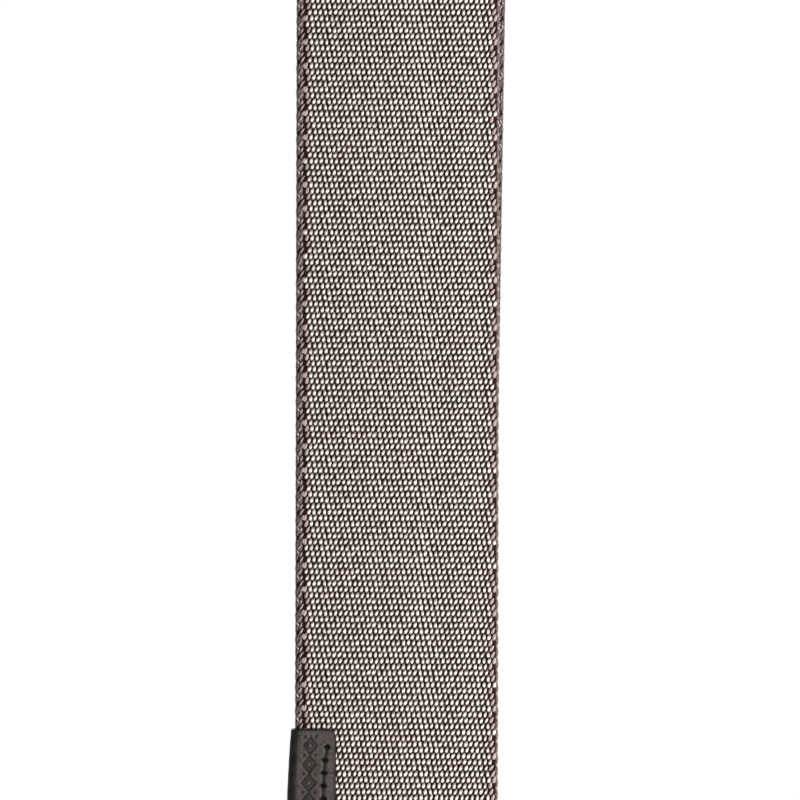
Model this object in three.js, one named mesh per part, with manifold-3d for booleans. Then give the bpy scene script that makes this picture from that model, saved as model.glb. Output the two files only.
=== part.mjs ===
// Guitar strap of 50 mm webbing with a slider, a ring, leather ends and a folded leather tag.
// Millimetres, +Z up. The strap hangs doubled over a round peg whose centre is the origin.
// The adjustable run hangs in front of the peg (-Y), the plain run hangs behind it (+Y).
import * as THREE from "three";
import { mergeVertices } from "three/addons/utils/BufferGeometryUtils.js";
import Module from "manifold-3d";

const wasm = await Module();
wasm.setup();

// ---------- driving dimensions ----------

const joinGap = 0.3;

const webbing = { width: 50, thickness: 2, bevel: 0.6 };
const halfThickness = webbing.thickness / 2;

// The webbing's fold over the peg, measured to its middle plane.
const fold = { radius: 16, steps: 24 };
const frontY = -fold.radius;
const backY = fold.radius;

const tab = {
  length: 118, width: 54, cornerRadius: 8, tipRadius: 17, taperStart: 58,
  layer: 2.1, layerGap: 0.2, plyGap: 0.15,
  overlap: 32, closing: 12,
  holeRadius: 4.5, holeSides: 24, holeFromTip: 20, slitLength: 13, slitWidth: 1.4,
};

const stitch = { length: 4.5, radius: 0.32, sides: 5, grooveWidth: 1.4, grooveDepth: 1.3 };
const edgeInset = 3.8;

// A thread lies this far under the face at its crowns, and this far over its groove's floor.
const threadClearance = { crown: 0.07, floor: 0.05 };

// Cutting prisms reach this far on both sides of what they cut. Where a cut or a slab only has
// to stand proud of a face, it does so by the overshoot.
const cutReach = 20;
const overshoot = 1;

const box = { halfWidth: 16, top: 8, bottom: 26 };

const ring = {
  upperZ: -530, height: 20, wireRadius: 2, halfWidth: 28.5, cornerRadius: 5, sides: 12,
};
ring.lowerZ = ring.upperZ - ring.height;

// The webbing turns round a ring bar at this radius, measured to its middle plane.
const turnRadius = ring.wireRadius + joinGap + halfThickness;
ring.y = frontY + turnRadius;

const slider = {
  z: -110, centreX: 1.2, windowWidth: 53.6, windowHalfHeight: 13, railWidth: 4, barHeight: 4,
  plate: 3.4, bevel: 0.5, cornerRadius: 5, centreBarRadius: 1.6, lugHalfHeight: 3.2,
  lugWall: 0.4, windowCornerRadius: 1.5, swellingInset: 1,
};
slider.halfHeight = slider.windowHalfHeight + slider.barHeight;
slider.width = slider.windowWidth + 2 * slider.railWidth;
slider.backY = frontY - halfThickness - joinGap;
slider.frontY = slider.backY - slider.plate;

// The sewn tail: the webbing goes up in front of the centre bar, over it and down behind it.
const wrapRadius = slider.centreBarRadius + joinGap + halfThickness;
const tail = {
  frontY: frontY + webbing.thickness + joinGap,
  splitZ: -165, closedZ: -124, endZ: -160,
  box: { halfWidth: 18, topZ: -130, bottomZ: -154, centreX: 1.8 },
  grooveDepth: 0.95,
};
tail.wrapY = tail.frontY + wrapRadius;
tail.backY = tail.frontY + webbing.thickness + joinGap;

// The return run stands a little to the right at the slider and straight below this height.
const returnShift = { atSlider: 2.35, straightZ: -248 };

const mainEndZ = -375;
const webbingBackEndZ = -380;
const frontTabTopZ = webbingBackEndZ + tab.overlap;

const rearLoop = { closedZ: ring.lowerZ - 16, endZ: ring.lowerZ - 50 };
const rearTabTopZ = rearLoop.endZ + tab.overlap;

const tag = {
  topZ: -319.6, length: 45, reach: 10, leather: 1, gap: 0.2, bulge: 1, cornerRadius: 2,
  stitchInset: 2.7, stitchMargin: 3.5, stitchLength: 3.2, threadRadius: 0.26,
  grooveWidth: 0.9, grooveDepth: 0.66, grooveRunOut: 0.5, threadClearance: 0.03, slabs: 8,
  lozenge: { x: -21.25, halfWidth: 1.55, halfHeight: 2.05, pitch: 4.6, count: 9, depth: 0.3 },
};

// ---------- materials ----------

function material(color, roughness, metalness = 0) {
  return new THREE.MeshStandardMaterial({ color, roughness, metalness });
}

const fabric = material(0x8c837f, 0.95);
const leather = material(0x2b2624, 0.5);
const thread = material(0x14110f, 0.8);
const blackMetal = material(0x1c1c1e, 0.35, 0.9);

// ---------- solids ----------

// A three.js geometry as a manifold-3d solid.
function toSolid(geometry) {
  const plain = geometry.clone();
  plain.deleteAttribute("normal");
  plain.deleteAttribute("uv");
  const merged = mergeVertices(plain, 1e-4);
  return new wasm.Manifold(new wasm.Mesh({
    numProp: 3,
    vertProperties: new Float32Array(merged.attributes.position.array),
    triVerts: new Uint32Array(merged.index.array),
  }));
}

function toGeometry(solid) {
  const mesh = solid.getMesh();
  const geometry = new THREE.BufferGeometry();
  geometry.setAttribute("position", new THREE.BufferAttribute(mesh.vertProperties, 3));
  geometry.setIndex(new THREE.BufferAttribute(mesh.triVerts, 1));
  geometry.computeVertexNormals();
  return geometry;
}

function signedVolume(points, index) {
  let sum = 0;
  for (let i = 0; i < index.length; i += 3) {
    const [a, b, c] = [points[index[i]], points[index[i + 1]], points[index[i + 2]]];
    sum += a.dot(b.clone().cross(c)) / 6;
  }
  return sum;
}

// A closed solid through rings of equal point counts, capped at both ends or joined in a loop.
function loft(rings, looped = false) {
  const count = rings[0].length;
  const points = rings.flat();
  const index = [];
  const spans = looped ? rings.length : rings.length - 1;
  for (let ringIndex = 0; ringIndex < spans; ringIndex += 1) {
    const start = ringIndex * count;
    const next = ((ringIndex + 1) % rings.length) * count;
    for (let i = 0; i < count; i += 1) {
      const j = (i + 1) % count;
      index.push(start + i, start + j, next + j, start + i, next + j, next + i);
    }
  }
  if (!looped) {
    const last = (rings.length - 1) * count;
    for (const [a, b, c] of capTriangles(rings[0])) {
      index.push(c, b, a, last + a, last + b, last + c);
    }
  }
  if (signedVolume(points, index) < 0) {
    index.reverse();
  }
  const geometry = new THREE.BufferGeometry();
  const positions = points.flatMap((p) => [p.x, p.y, p.z]);
  geometry.setAttribute("position", new THREE.Float32BufferAttribute(positions, 3));
  geometry.setIndex(index);
  geometry.computeVertexNormals();
  return geometry;
}

// Triangles across a flat ring, wound the same way as the ring's own points.
function capTriangles(ringPoints) {
  const spread = new THREE.Box3().setFromPoints(ringPoints).getSize(new THREE.Vector3());
  const axes = ["x", "y", "z"].sort((a, b) => spread[b] - spread[a]).slice(0, 2);
  const flat = ringPoints.map((p) => new THREE.Vector2(p[axes[0]], p[axes[1]]));
  const turn = Math.sign(THREE.ShapeUtils.area(flat));
  return THREE.ShapeUtils.triangulateShape(flat, []).map((face) => {
    const sameTurn = Math.sign(THREE.ShapeUtils.area(face.map((i) => flat[i]))) === turn;
    return sameTurn ? face : [...face].reverse();
  });
}

// A prism with its outline in the XZ plane, running from yFrom to yTo.
function prism(outline, yFrom, yTo, bevel = 0) {
  const shape = outline instanceof THREE.Shape ? outline : new THREE.Shape(outline);
  const geometry = new THREE.ExtrudeGeometry(shape, {
    depth: yTo - yFrom - 2 * bevel, curveSegments: 8,
    bevelEnabled: bevel > 0, bevelThickness: bevel, bevelSize: bevel, bevelOffset: -bevel,
    bevelSegments: 2,
  });
  geometry.rotateX(Math.PI / 2);
  geometry.translate(0, yTo - bevel, 0);
  return toSolid(geometry);
}

// A prism that reaches right through whatever stands at depth y.
function through(outline, y, reach = cutReach) {
  return prism(outline, y - reach, y + reach);
}

function block(xFrom, xTo, yFrom, yTo, zFrom, zTo) {
  const geometry = new THREE.BoxGeometry(xTo - xFrom, yTo - yFrom, zTo - zFrom);
  geometry.translate((xFrom + xTo) / 2, (yFrom + yTo) / 2, (zFrom + zTo) / 2);
  return toSolid(geometry);
}

function mesh(name, geometry, itsMaterial) {
  const part = new THREE.Mesh(geometry, itsMaterial.clone());
  part.name = name;
  return part;
}

// ---------- outlines ----------

function smoothStep(value) {
  const t = THREE.MathUtils.clamp(value, 0, 1);
  return t * t * (3 - 2 * t);
}

// Moves every side of a counter-clockwise outline inwards.
function inset(outline, distance) {
  return outline.map((point, i) => {
    const before = outline[(i + outline.length - 1) % outline.length];
    const after = outline[(i + 1) % outline.length];
    const into = [point.clone().sub(before), after.clone().sub(point)]
      .map((side) => new THREE.Vector2(-side.y, side.x).normalize());
    const scale = distance / (1 + into[0].dot(into[1]));
    return point.clone().add(into[0].add(into[1]).multiplyScalar(scale));
  });
}

function circlePoints(centreX, centreZ, radius, fromDegrees, toDegrees, steps) {
  return Array.from({ length: steps + 1 }, (_, i) => {
    const angle = THREE.MathUtils.degToRad(fromDegrees + ((toDegrees - fromDegrees) * i) / steps);
    return new THREE.Vector2(
      centreX + radius * Math.cos(angle), centreZ + radius * Math.sin(angle));
  });
}

function roundedRectangle(xFrom, xTo, zFrom, zTo, radius, steps = 5) {
  return [
    ...circlePoints(xTo - radius, zTo - radius, radius, 0, 90, steps),
    ...circlePoints(xFrom + radius, zTo - radius, radius, 90, 180, steps),
    ...circlePoints(xFrom + radius, zFrom + radius, radius, 180, 270, steps),
    ...circlePoints(xTo - radius, zFrom + radius, radius, 270, 360, steps),
  ];
}

// A leather end: square where the webbing enters, tapering to a round tip at the bottom.
function tabOutline(topZ) {
  const half = tab.width / 2;
  const tipCentre = tab.length - tab.tipRadius;
  const taperSteps = 8;
  const taper = (side) => Array.from({ length: taperSteps }, (_, i) => {
    const along = i / taperSteps;
    const x = THREE.MathUtils.lerp(half, tab.tipRadius, smoothStep(along));
    const z = topZ - THREE.MathUtils.lerp(tab.taperStart, tipCentre, along);
    return new THREE.Vector2(side * x, z);
  });
  const corner = tab.cornerRadius;
  return [
    ...circlePoints(half - corner, topZ - corner, corner, 0, 90, 5),
    ...circlePoints(corner - half, topZ - corner, corner, 90, 180, 5),
    ...taper(-1),
    ...circlePoints(0, topZ - tipCentre, tab.tipRadius, 180, 360, 16),
    ...taper(1).reverse(),
  ];
}

// Points spaced evenly round a closed outline.
function evenly(outline, spacing) {
  const lengths = outline.map((p, i) => p.distanceTo(outline[(i + 1) % outline.length]));
  const total = lengths.reduce((sum, length) => sum + length, 0);
  const count = 2 * Math.round(total / spacing / 2);
  const points = [];
  let side = 0;
  let passed = 0;
  for (let i = 0; i < count; i += 1) {
    const target = (total * i) / count;
    while (passed + lengths[side] < target) {
      passed += lengths[side];
      side += 1;
    }
    const along = (target - passed) / lengths[side];
    points.push(outline[side].clone().lerp(outline[(side + 1) % outline.length], along));
  }
  return points;
}

// ---------- webbing ----------

// The webbing's section has bevelled long edges. Points are [across, outwards].
function webbingSection() {
  const { width, thickness, bevel } = webbing;
  const [w, t] = [width / 2, thickness / 2];
  return [
    [w - bevel, -t], [w, bevel - t], [w, t - bevel], [w - bevel, t],
    [bevel - w, t], [-w, t - bevel], [-w, bevel - t], [bevel - w, -t],
  ];
}

// Webbing along a route in the YZ plane. shift(z) moves it sideways.
function strip(route, shift = () => 0) {
  const rings = route.map((point, i) => {
    const before = route[Math.max(i - 1, 0)];
    const after = route[Math.min(i + 1, route.length - 1)];
    const along = new THREE.Vector2(after.y - before.y, after.z - before.z).normalize();
    return webbingSection().map(([across, out]) => new THREE.Vector3(
      across + shift(point.z), point.y - along.y * out, point.z + along.x * out));
  });
  return loft(rings);
}

function at(y, z) {
  return new THREE.Vector3(0, y, z);
}

// Part of a circle about an X axis. 0 degrees is +Y and 90 degrees is +Z.
function bend(y, z, radius, fromDegrees, toDegrees, steps) {
  return circlePoints(y, z, radius, fromDegrees, toDegrees, steps)
    .map((p) => at(p.x, p.y));
}

// A soft step from one height and depth to another.
function ease(from, to, steps) {
  return Array.from({ length: steps + 1 }, (_, i) => at(
    THREE.MathUtils.lerp(from.y, to.y, smoothStep(i / steps)),
    THREE.MathUtils.lerp(from.z, to.z, i / steps)));
}

function sideways(z) {
  const span = slider.z - returnShift.straightZ;
  return returnShift.atSlider * THREE.MathUtils.clamp((z - returnShift.straightZ) / span, 0, 1);
}

function webbingMain() {
  const route = [
    at(backY, webbingBackEndZ),
    ...bend(0, 0, fold.radius, 0, 180, fold.steps),
    at(frontY, mainEndZ),
  ];
  return strip(route);
}

function webbingLowerRun() {
  return strip([at(frontY, mainEndZ - joinGap), at(frontY, ring.upperZ + joinGap / 2)]);
}

function webbingTurn() {
  return strip([
    at(frontY, ring.upperZ - joinGap / 2),
    ...bend(ring.y, ring.upperZ - joinGap, turnRadius, 180, 360, 14),
    at(ring.y + turnRadius, ring.upperZ - joinGap / 2),
  ]);
}

// The return run leaves the ring behind the front run and closes in on it towards the slider.
function webbingReturn() {
  const steps = 10;
  const from = at(ring.y + turnRadius, ring.upperZ + joinGap / 2);
  const to = at(tail.frontY, tail.splitZ - joinGap);
  const route = Array.from({ length: steps + 1 }, (_, i) => {
    const along = i / steps;
    return at(
      THREE.MathUtils.lerp(from.y, to.y, along * along),
      THREE.MathUtils.lerp(from.z, to.z, along));
  });
  return strip(route, sideways);
}

function webbingTail() {
  const wrapEnd = at(tail.wrapY + wrapRadius, slider.z);
  const route = [
    at(tail.frontY, tail.splitZ),
    ...bend(tail.wrapY, slider.z, wrapRadius, 180, 0, 12).slice(0, -1),
    ...ease(wrapEnd, at(tail.backY, tail.closedZ), 6),
    at(tail.backY, tail.endZ),
  ];
  const grooves = tailGroove(tail.frontY - halfThickness, -1)
    .add(tailGroove(tail.backY + halfThickness, 1));
  return toGeometry(toSolid(strip(route, sideways)).subtract(grooves));
}

function tailBoxOutline() {
  const { halfWidth, topZ, bottomZ, centreX } = tail.box;
  return cornerOutline(centreX - halfWidth, centreX + halfWidth, bottomZ, topZ);
}

function tailGroove(faceY, side) {
  const [near, far] = [
    faceY - side * tail.grooveDepth, faceY + side * overshoot,
  ].sort((a, b) => a - b);
  const outline = tailBoxOutline();
  return prism(inset(outline, -stitch.grooveWidth / 2), near, far)
    .subtract(prism(
      inset(outline, stitch.grooveWidth / 2), near - overshoot, far + overshoot));
}

function rearLoopWebbing() {
  const ply = halfThickness + joinGap / 2;
  return strip([
    at(ring.y - ply, rearLoop.endZ),
    ...ease(at(ring.y - ply, rearLoop.closedZ), at(ring.y - turnRadius, ring.lowerZ), 6),
    ...bend(ring.y, ring.lowerZ, turnRadius, 180, 0, 12).slice(1, -1),
    ...ease(at(ring.y + turnRadius, ring.lowerZ), at(ring.y + ply, rearLoop.closedZ), 6),
    at(ring.y + ply, rearLoop.endZ),
  ]);
}

// ---------- threads ----------

// A sewing thread round a closed outline: it rises to the face at every other point.
// faceY(z) is the face it is sewn on and side is the way out of that face, -1 or +1.
function threadLoop(outline, faceY, side, radius, crownDepth, dipDepth) {
  const points = outline.map((p, i) => {
    const depth = i % 2 === 0 ? crownDepth : dipDepth;
    return new THREE.Vector3(p.x, faceY(p.y) - side * depth, p.y);
  });
  return tube(points, radius, stitch.sides, true);
}

// A round bar along points that lie in, or near, an XZ plane.
function tube(points, radius, sides, looped) {
  const last = points.length - 1;
  const rings = points.map((point, i) => {
    const before = looped ? points[(i + last) % points.length] : points[Math.max(i - 1, 0)];
    const after = looped ? points[(i + 1) % points.length] : points[Math.min(i + 1, last)];
    const along = after.clone().sub(before).setY(0).normalize();
    const across = new THREE.Vector3(along.z, 0, -along.x);
    return Array.from({ length: sides }, (_, k) => {
      const angle = (2 * Math.PI * k) / sides;
      return point.clone()
        .addScaledVector(across, radius * Math.cos(angle))
        .add(new THREE.Vector3(0, radius * Math.sin(angle), 0));
    });
  });
  return loft(rings, looped);
}

// A rectangle whose corners are points of their own, so that a thread turns exactly there.
function cornerOutline(xFrom, xTo, zFrom, zTo) {
  const corners = [
    new THREE.Vector2(xTo, zTo), new THREE.Vector2(xFrom, zTo),
    new THREE.Vector2(xFrom, zFrom), new THREE.Vector2(xTo, zFrom),
  ];
  return corners.flatMap((corner, i) => {
    const next = corners[(i + 1) % corners.length];
    const steps = 2 * Math.round(corner.distanceTo(next) / stitch.length);
    return Array.from({ length: steps }, (_, k) => corner.clone().lerp(next, k / steps));
  });
}

// ---------- leather ends ----------

// How far a layer's inner face stands from the end's middle plane at height z.
function layerOffset(topZ, plyHalf, z) {
  const closed = smoothStep((topZ - tab.overlap - z) / tab.closing);
  return THREE.MathUtils.lerp(plyHalf + tab.plyGap, tab.layerGap / 2, closed);
}

// A leather end: topZ is its upper edge, y its middle plane and plyHalf half of what it holds.
// outerSide is the way its outer layer faces, -1 or +1.
function leatherEnd(prefix, topZ, y, plyHalf, outerSide) {
  const faceY = (side) => (z) => y + side * (layerOffset(topZ, plyHalf, z) + tab.layer);
  const outline = tabOutline(topZ);
  const edgePath = evenly(inset(outline, edgeInset), stitch.length / 2);
  const boxPath = cornerOutline(
    -box.halfWidth, box.halfWidth, topZ - box.bottom, topZ - box.top);
  const crownDepth = stitch.radius + threadClearance.crown;
  const dipDepth = stitch.grooveDepth - stitch.radius - threadClearance.floor;
  const sew = (name, path, side) => mesh(
    name, threadLoop(path, faceY(side), side, stitch.radius, crownDepth, dipDepth), thread);
  return [
    mesh(`${prefix}_outer`, leatherLayer(topZ, y, plyHalf, outerSide, outline), leather),
    mesh(`${prefix}_inner`, leatherLayer(topZ, y, plyHalf, -outerSide, outline), leather),
    sew(`${prefix}_edge_needle_thread`, edgePath, outerSide),
    sew(`${prefix}_edge_bobbin_thread`, edgePath, -outerSide),
    sew(`${prefix}_box_needle_thread`, boxPath, outerSide),
    sew(`${prefix}_box_bobbin_thread`, boxPath, -outerSide),
  ];
}

// One layer of leather, bent over the webbing's end, with its stitching grooves and its hole.
function leatherLayer(topZ, y, plyHalf, side, outline) {
  const bottomZ = topZ - tab.length;
  const inner = (z) => y + side * layerOffset(topZ, plyHalf, z);
  const outer = (z) => inner(z) + side * tab.layer;
  const grooveFloor = (z) => outer(z) - side * stitch.grooveDepth;
  const above = (z) => outer(z) + side * overshoot;
  const stations = bentStations(topZ, bottomZ);
  const body = toSolid(bentSlab(stations, inner, outer)).intersect(through(outline, y));
  const half = stitch.grooveWidth / 2;
  const band = (path) => through(inset(path, -half), y)
    .subtract(through(inset(path, half), y, cutReach + overshoot));
  const boxRectangle = [
    new THREE.Vector2(box.halfWidth, topZ - box.top),
    new THREE.Vector2(-box.halfWidth, topZ - box.top),
    new THREE.Vector2(-box.halfWidth, topZ - box.bottom),
    new THREE.Vector2(box.halfWidth, topZ - box.bottom),
  ];
  const bands = band(inset(outline, edgeInset)).add(band(boxRectangle));
  const grooves = toSolid(bentSlab(stations, grooveFloor, above)).intersect(bands);
  return toGeometry(body.subtract(grooves).subtract(buttonHole(bottomZ, y)));
}

function bentStations(topZ, bottomZ) {
  const bendTop = topZ - tab.overlap;
  const bendSteps = 6;
  const bendStations = Array.from(
    { length: bendSteps + 1 }, (_, i) => bendTop - (tab.closing * i) / bendSteps);
  return [topZ + overshoot, ...bendStations, bottomZ - overshoot];
}

// A slab between two surfaces y = low(z) and y = high(z), wider than the leather end.
function bentSlab(stations, low, high) {
  const half = tab.width / 2 + 2 * overshoot;
  return loft(stations.map((z) => [
    new THREE.Vector3(-half, low(z), z), new THREE.Vector3(half, low(z), z),
    new THREE.Vector3(half, high(z), z), new THREE.Vector3(-half, high(z), z),
  ]));
}

// The strap button's hole, with the slit that lets the button's head through.
function buttonHole(bottomZ, y) {
  const holeZ = bottomZ + tab.holeFromTip;
  const lastDegrees = 360 - 360 / tab.holeSides;
  const round = through(
    circlePoints(0, holeZ, tab.holeRadius, 0, lastDegrees, tab.holeSides - 1), y);
  const slit = block(
    -tab.slitWidth / 2, tab.slitWidth / 2, y - cutReach, y + cutReach,
    holeZ, holeZ + tab.slitLength);
  return round.add(slit);
}

// ---------- tag ----------

// The tag is a leather strip folded round the webbing's left edge and sewn through it.
function tagParts() {
  const bottomZ = tag.topZ - tag.length;
  const inner = halfThickness + tag.gap;
  const outer = inner + tag.leather;
  const freeX = tag.reach - webbing.width / 2;
  const foldX = (z) => {
    const slack = tag.bulge * Math.sin((Math.PI * (tag.topZ - z)) / tag.length);
    return -webbing.width / 2 - tag.gap + inner - slack;
  };
  const section = (z) => [
    [freeX, -outer],
    ...circlePoints(foldX(z), 0, outer, 270, 90, 10).map((p) => [p.x, p.y]),
    [freeX, outer], [freeX, inner],
    ...circlePoints(foldX(z), 0, inner, 90, 270, 8).map((p) => [p.x, p.y]),
    [freeX, -inner],
  ].map(([x, y]) => new THREE.Vector3(x, frontY + y, z));
  const stations = Array.from(
    { length: tag.slabs + 1 }, (_, i) => tag.topZ - (tag.length * i) / tag.slabs);
  const outline = roundedRectangle(
    freeX - cutReach, freeX, bottomZ, tag.topZ, tag.cornerRadius, 4);
  const stitchX = freeX - tag.stitchInset;
  const stitchTop = tag.topZ - tag.stitchMargin;
  const stitchBottom = bottomZ + tag.stitchMargin;
  const cuts = [-1, 1].map((side) => tagGroove(side, outer, stitchX, stitchTop, stitchBottom));
  const solid = toSolid(loft(stations.map(section)))
    .intersect(through(outline, frontY))
    .subtract(cuts[0].add(cuts[1]))
    .subtract(tagLozenges(outer));
  const threads = [["tag_needle_thread", -1], ["tag_bobbin_thread", 1]].map(([name, side]) => mesh(
    name, tagThread(side, outer, stitchX, stitchTop, stitchBottom), thread));
  return [mesh("tag", toGeometry(solid), leather), ...threads];
}

function tagGroove(side, outer, x, top, bottom) {
  const [near, far] = [
    frontY + side * (outer - tag.grooveDepth), frontY + side * (outer + overshoot),
  ].sort((a, b) => a - b);
  const half = tag.grooveWidth / 2;
  const outline = roundedRectangle(
    x - half, x + half, bottom - tag.grooveRunOut, top + tag.grooveRunOut, half, 4);
  return prism(outline, near, far);
}

function tagThread(side, outer, x, top, bottom) {
  const steps = 2 * Math.round((top - bottom) / tag.stitchLength);
  const crown = tag.threadRadius + tag.threadClearance;
  const dip = tag.grooveDepth - tag.threadRadius - tag.threadClearance;
  const points = Array.from({ length: steps + 1 }, (_, i) => new THREE.Vector3(
    x, frontY + side * (outer - (i % 2 === 0 ? dip : crown)),
    THREE.MathUtils.lerp(top, bottom, i / steps)));
  return tube(points, tag.threadRadius, 6, false);
}

// The pressed ornament: a column of plain lozenges.
function tagLozenges(outer) {
  const { x, halfWidth, halfHeight, pitch, count, depth } = tag.lozenge;
  const middle = tag.topZ - tag.length / 2;
  const faceY = frontY - outer;
  const cuts = Array.from({ length: count }, (_, i) => {
    const z = middle + (i - (count - 1) / 2) * pitch;
    const outline = [
      new THREE.Vector2(x + halfWidth, z), new THREE.Vector2(x, z + halfHeight),
      new THREE.Vector2(x - halfWidth, z), new THREE.Vector2(x, z - halfHeight),
    ];
    return prism(outline, faceY - overshoot, faceY + depth);
  });
  return cuts.reduce((all, one) => all.add(one));
}

// ---------- metal ----------

// The ring is one round wire in the shape of a rounded rectangle.
function ringWire() {
  const centreLine = roundedRectangle(
    -ring.halfWidth, ring.halfWidth, ring.lowerZ, ring.upperZ, ring.cornerRadius);
  const points = centreLine.map((p) => new THREE.Vector3(p.x, ring.y, p.y));
  return tube(points, ring.wireRadius, ring.sides, true);
}

// The slider: a flat frame whose side rails swell backwards to carry the set-back centre bar.
function sliderFrame() {
  const { centreX, z } = slider;
  const halfWindow = slider.windowWidth / 2;
  const halfWidth = slider.width / 2;
  const around = roundedRectangle(
    centreX - halfWidth, centreX + halfWidth, z - slider.halfHeight, z + slider.halfHeight,
    slider.cornerRadius);
  const window = roundedRectangle(
    centreX - halfWindow, centreX + halfWindow,
    z - slider.windowHalfHeight, z + slider.windowHalfHeight, slider.windowCornerRadius, 3);
  const plateShape = new THREE.Shape(around);
  plateShape.holes.push(new THREE.Path(window));
  const plate = prism(plateShape, slider.frontY, slider.backY, slider.bevel);
  const rails = [-1, 1].map((side) => {
    const near = centreX + side * halfWindow;
    const far = centreX + side * (halfWidth - slider.bevel);
    return railSwelling(Math.min(near, far), Math.max(near, far));
  });
  const shaped = rails[0].add(rails[1]).intersect(prism(around, slider.frontY, backY));
  return toGeometry(plate.add(shaped).add(centreBar()));
}

function railSwelling(xFrom, xTo) {
  const backEnd = tail.wrapY + slider.centreBarRadius + slider.lugWall;
  const baseHalf = slider.halfHeight - slider.swellingInset;
  const baseY = slider.frontY + slider.swellingInset;
  const profile = new THREE.Shape([
    new THREE.Vector2(-baseHalf, baseY),
    new THREE.Vector2(baseHalf, baseY),
    new THREE.Vector2(baseHalf, slider.backY - slider.bevel),
    new THREE.Vector2(slider.lugHalfHeight, backEnd),
    new THREE.Vector2(-slider.lugHalfHeight, backEnd),
    new THREE.Vector2(-baseHalf, slider.backY - slider.bevel),
  ]);
  const geometry = new THREE.ExtrudeGeometry(profile, { depth: xTo - xFrom, bevelEnabled: false });
  geometry.applyMatrix4(new THREE.Matrix4().set(
    0, 0, 1, xFrom, 0, 1, 0, 0, 1, 0, 0, slider.z, 0, 0, 0, 1));
  return toSolid(facesTurned(geometry));
}

// The matrix above swaps two axes, which turns the faces inside out, so they are turned back.
function facesTurned(geometry) {
  const merged = mergeVertices(geometry.deleteAttribute("normal").deleteAttribute("uv"), 1e-4);
  merged.index.array.reverse();
  return merged;
}

function centreBar() {
  const length = slider.windowWidth + slider.railWidth;
  const geometry = new THREE.CylinderGeometry(
    slider.centreBarRadius, slider.centreBarRadius, length, 16);
  geometry.rotateZ(Math.PI / 2);
  geometry.translate(slider.centreX, tail.wrapY, slider.z);
  return toSolid(geometry);
}

// ---------- assembly ----------

function tailThreads() {
  const crown = stitch.radius + threadClearance.crown;
  const dip = tail.grooveDepth - stitch.radius - threadClearance.floor;
  const faces = [
    ["tail_needle_thread", tail.frontY - halfThickness, -1],
    ["tail_bobbin_thread", tail.backY + halfThickness, 1],
  ];
  return faces.map(([name, faceY, side]) => mesh(
    name, threadLoop(tailBoxOutline(), () => faceY, side, stitch.radius, crown, dip), thread));
}

const strap = new THREE.Group();
strap.add(
  mesh("webbing_main", webbingMain(), fabric),
  mesh("webbing_lower_run", webbingLowerRun(), fabric),
  ...leatherEnd("front_tab", frontTabTopZ, backY, halfThickness, 1),
  ...tagParts(),
  mesh("webbing_turn", webbingTurn(), fabric),
  mesh("webbing_return", webbingReturn(), fabric),
  mesh("slider_frame", sliderFrame(), blackMetal),
  mesh("webbing_tail", webbingTail(), fabric),
  ...tailThreads(),
  mesh("ring", ringWire(), blackMetal),
  mesh("rear_loop_webbing", rearLoopWebbing(), fabric),
  ...leatherEnd("rear_tab", rearTabTopZ, ring.y, webbing.thickness + joinGap / 2, -1),
);

export default strap;
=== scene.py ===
"""Looks of the guitar strap: woven webbing, leather tag and ends, stitching and metal parts."""
import math

import bpy
import numpy as np
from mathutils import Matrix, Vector, noise
from mathutils.geometry import delaunay_2d_cdt
from mathutils.kdtree import KDTree


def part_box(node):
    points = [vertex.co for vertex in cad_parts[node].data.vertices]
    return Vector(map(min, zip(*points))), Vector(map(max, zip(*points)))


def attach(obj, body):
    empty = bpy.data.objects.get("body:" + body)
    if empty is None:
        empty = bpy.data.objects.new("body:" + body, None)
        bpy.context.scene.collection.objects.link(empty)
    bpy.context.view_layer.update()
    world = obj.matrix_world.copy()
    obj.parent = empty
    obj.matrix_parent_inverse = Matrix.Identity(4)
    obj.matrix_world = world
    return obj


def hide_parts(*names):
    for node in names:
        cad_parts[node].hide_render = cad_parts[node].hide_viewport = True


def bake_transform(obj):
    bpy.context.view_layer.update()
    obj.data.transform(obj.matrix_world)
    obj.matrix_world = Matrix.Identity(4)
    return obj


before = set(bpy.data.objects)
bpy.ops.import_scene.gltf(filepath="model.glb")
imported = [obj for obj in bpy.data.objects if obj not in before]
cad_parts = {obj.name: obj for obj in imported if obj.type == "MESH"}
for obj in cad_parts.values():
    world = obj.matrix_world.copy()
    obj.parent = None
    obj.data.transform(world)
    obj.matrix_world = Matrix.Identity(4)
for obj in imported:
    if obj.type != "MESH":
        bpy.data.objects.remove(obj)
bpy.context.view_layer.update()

MM = 0.001
random = np.random.default_rng(7)

# ---------- places, read from the frame, in millimetres ----------


def node_box(node):
    low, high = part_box(node)
    return np.array(low) / MM, np.array(high) / MM


main_low, main_high = node_box("webbing_main")
lower_low, lower_high = node_box("webbing_lower_run")
tail_low, tail_high = node_box("webbing_tail")
loop_low = node_box("rear_loop_webbing")[0]
ring_low, ring_high = node_box("ring")
slider_low, slider_high = node_box("slider_frame")
tag_low, tag_high = node_box("tag")

WIDTH = main_high[0] - main_low[0]
THICKNESS = lower_high[1] - lower_low[1]
HALF = THICKNESS / 2
FLAT_HALF = WIDTH / 2 - HALF
FOLD_RADIUS = main_high[1] - HALF
FRONT_Y, BACK_Y = -FOLD_RADIUS, FOLD_RADIUS

WIRE = (ring_high[1] - ring_low[1]) / 2
RING_Y = (ring_low[1] + ring_high[1]) / 2
RING_TOP_Z, RING_BOTTOM_Z = ring_high[2] - WIRE, ring_low[2] + WIRE
GAP = 0.3
TURN_RADIUS = WIRE + GAP + HALF

SLIDER_Z = (slider_low[2] + slider_high[2]) / 2
TAIL_FRONT_Y = tail_low[1] + HALF
TAIL_WRAP_RADIUS = (tail_high[1] - tail_low[1]) / 2 - HALF
TAIL_BACK_Y = TAIL_FRONT_Y + THICKNESS + GAP
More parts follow.
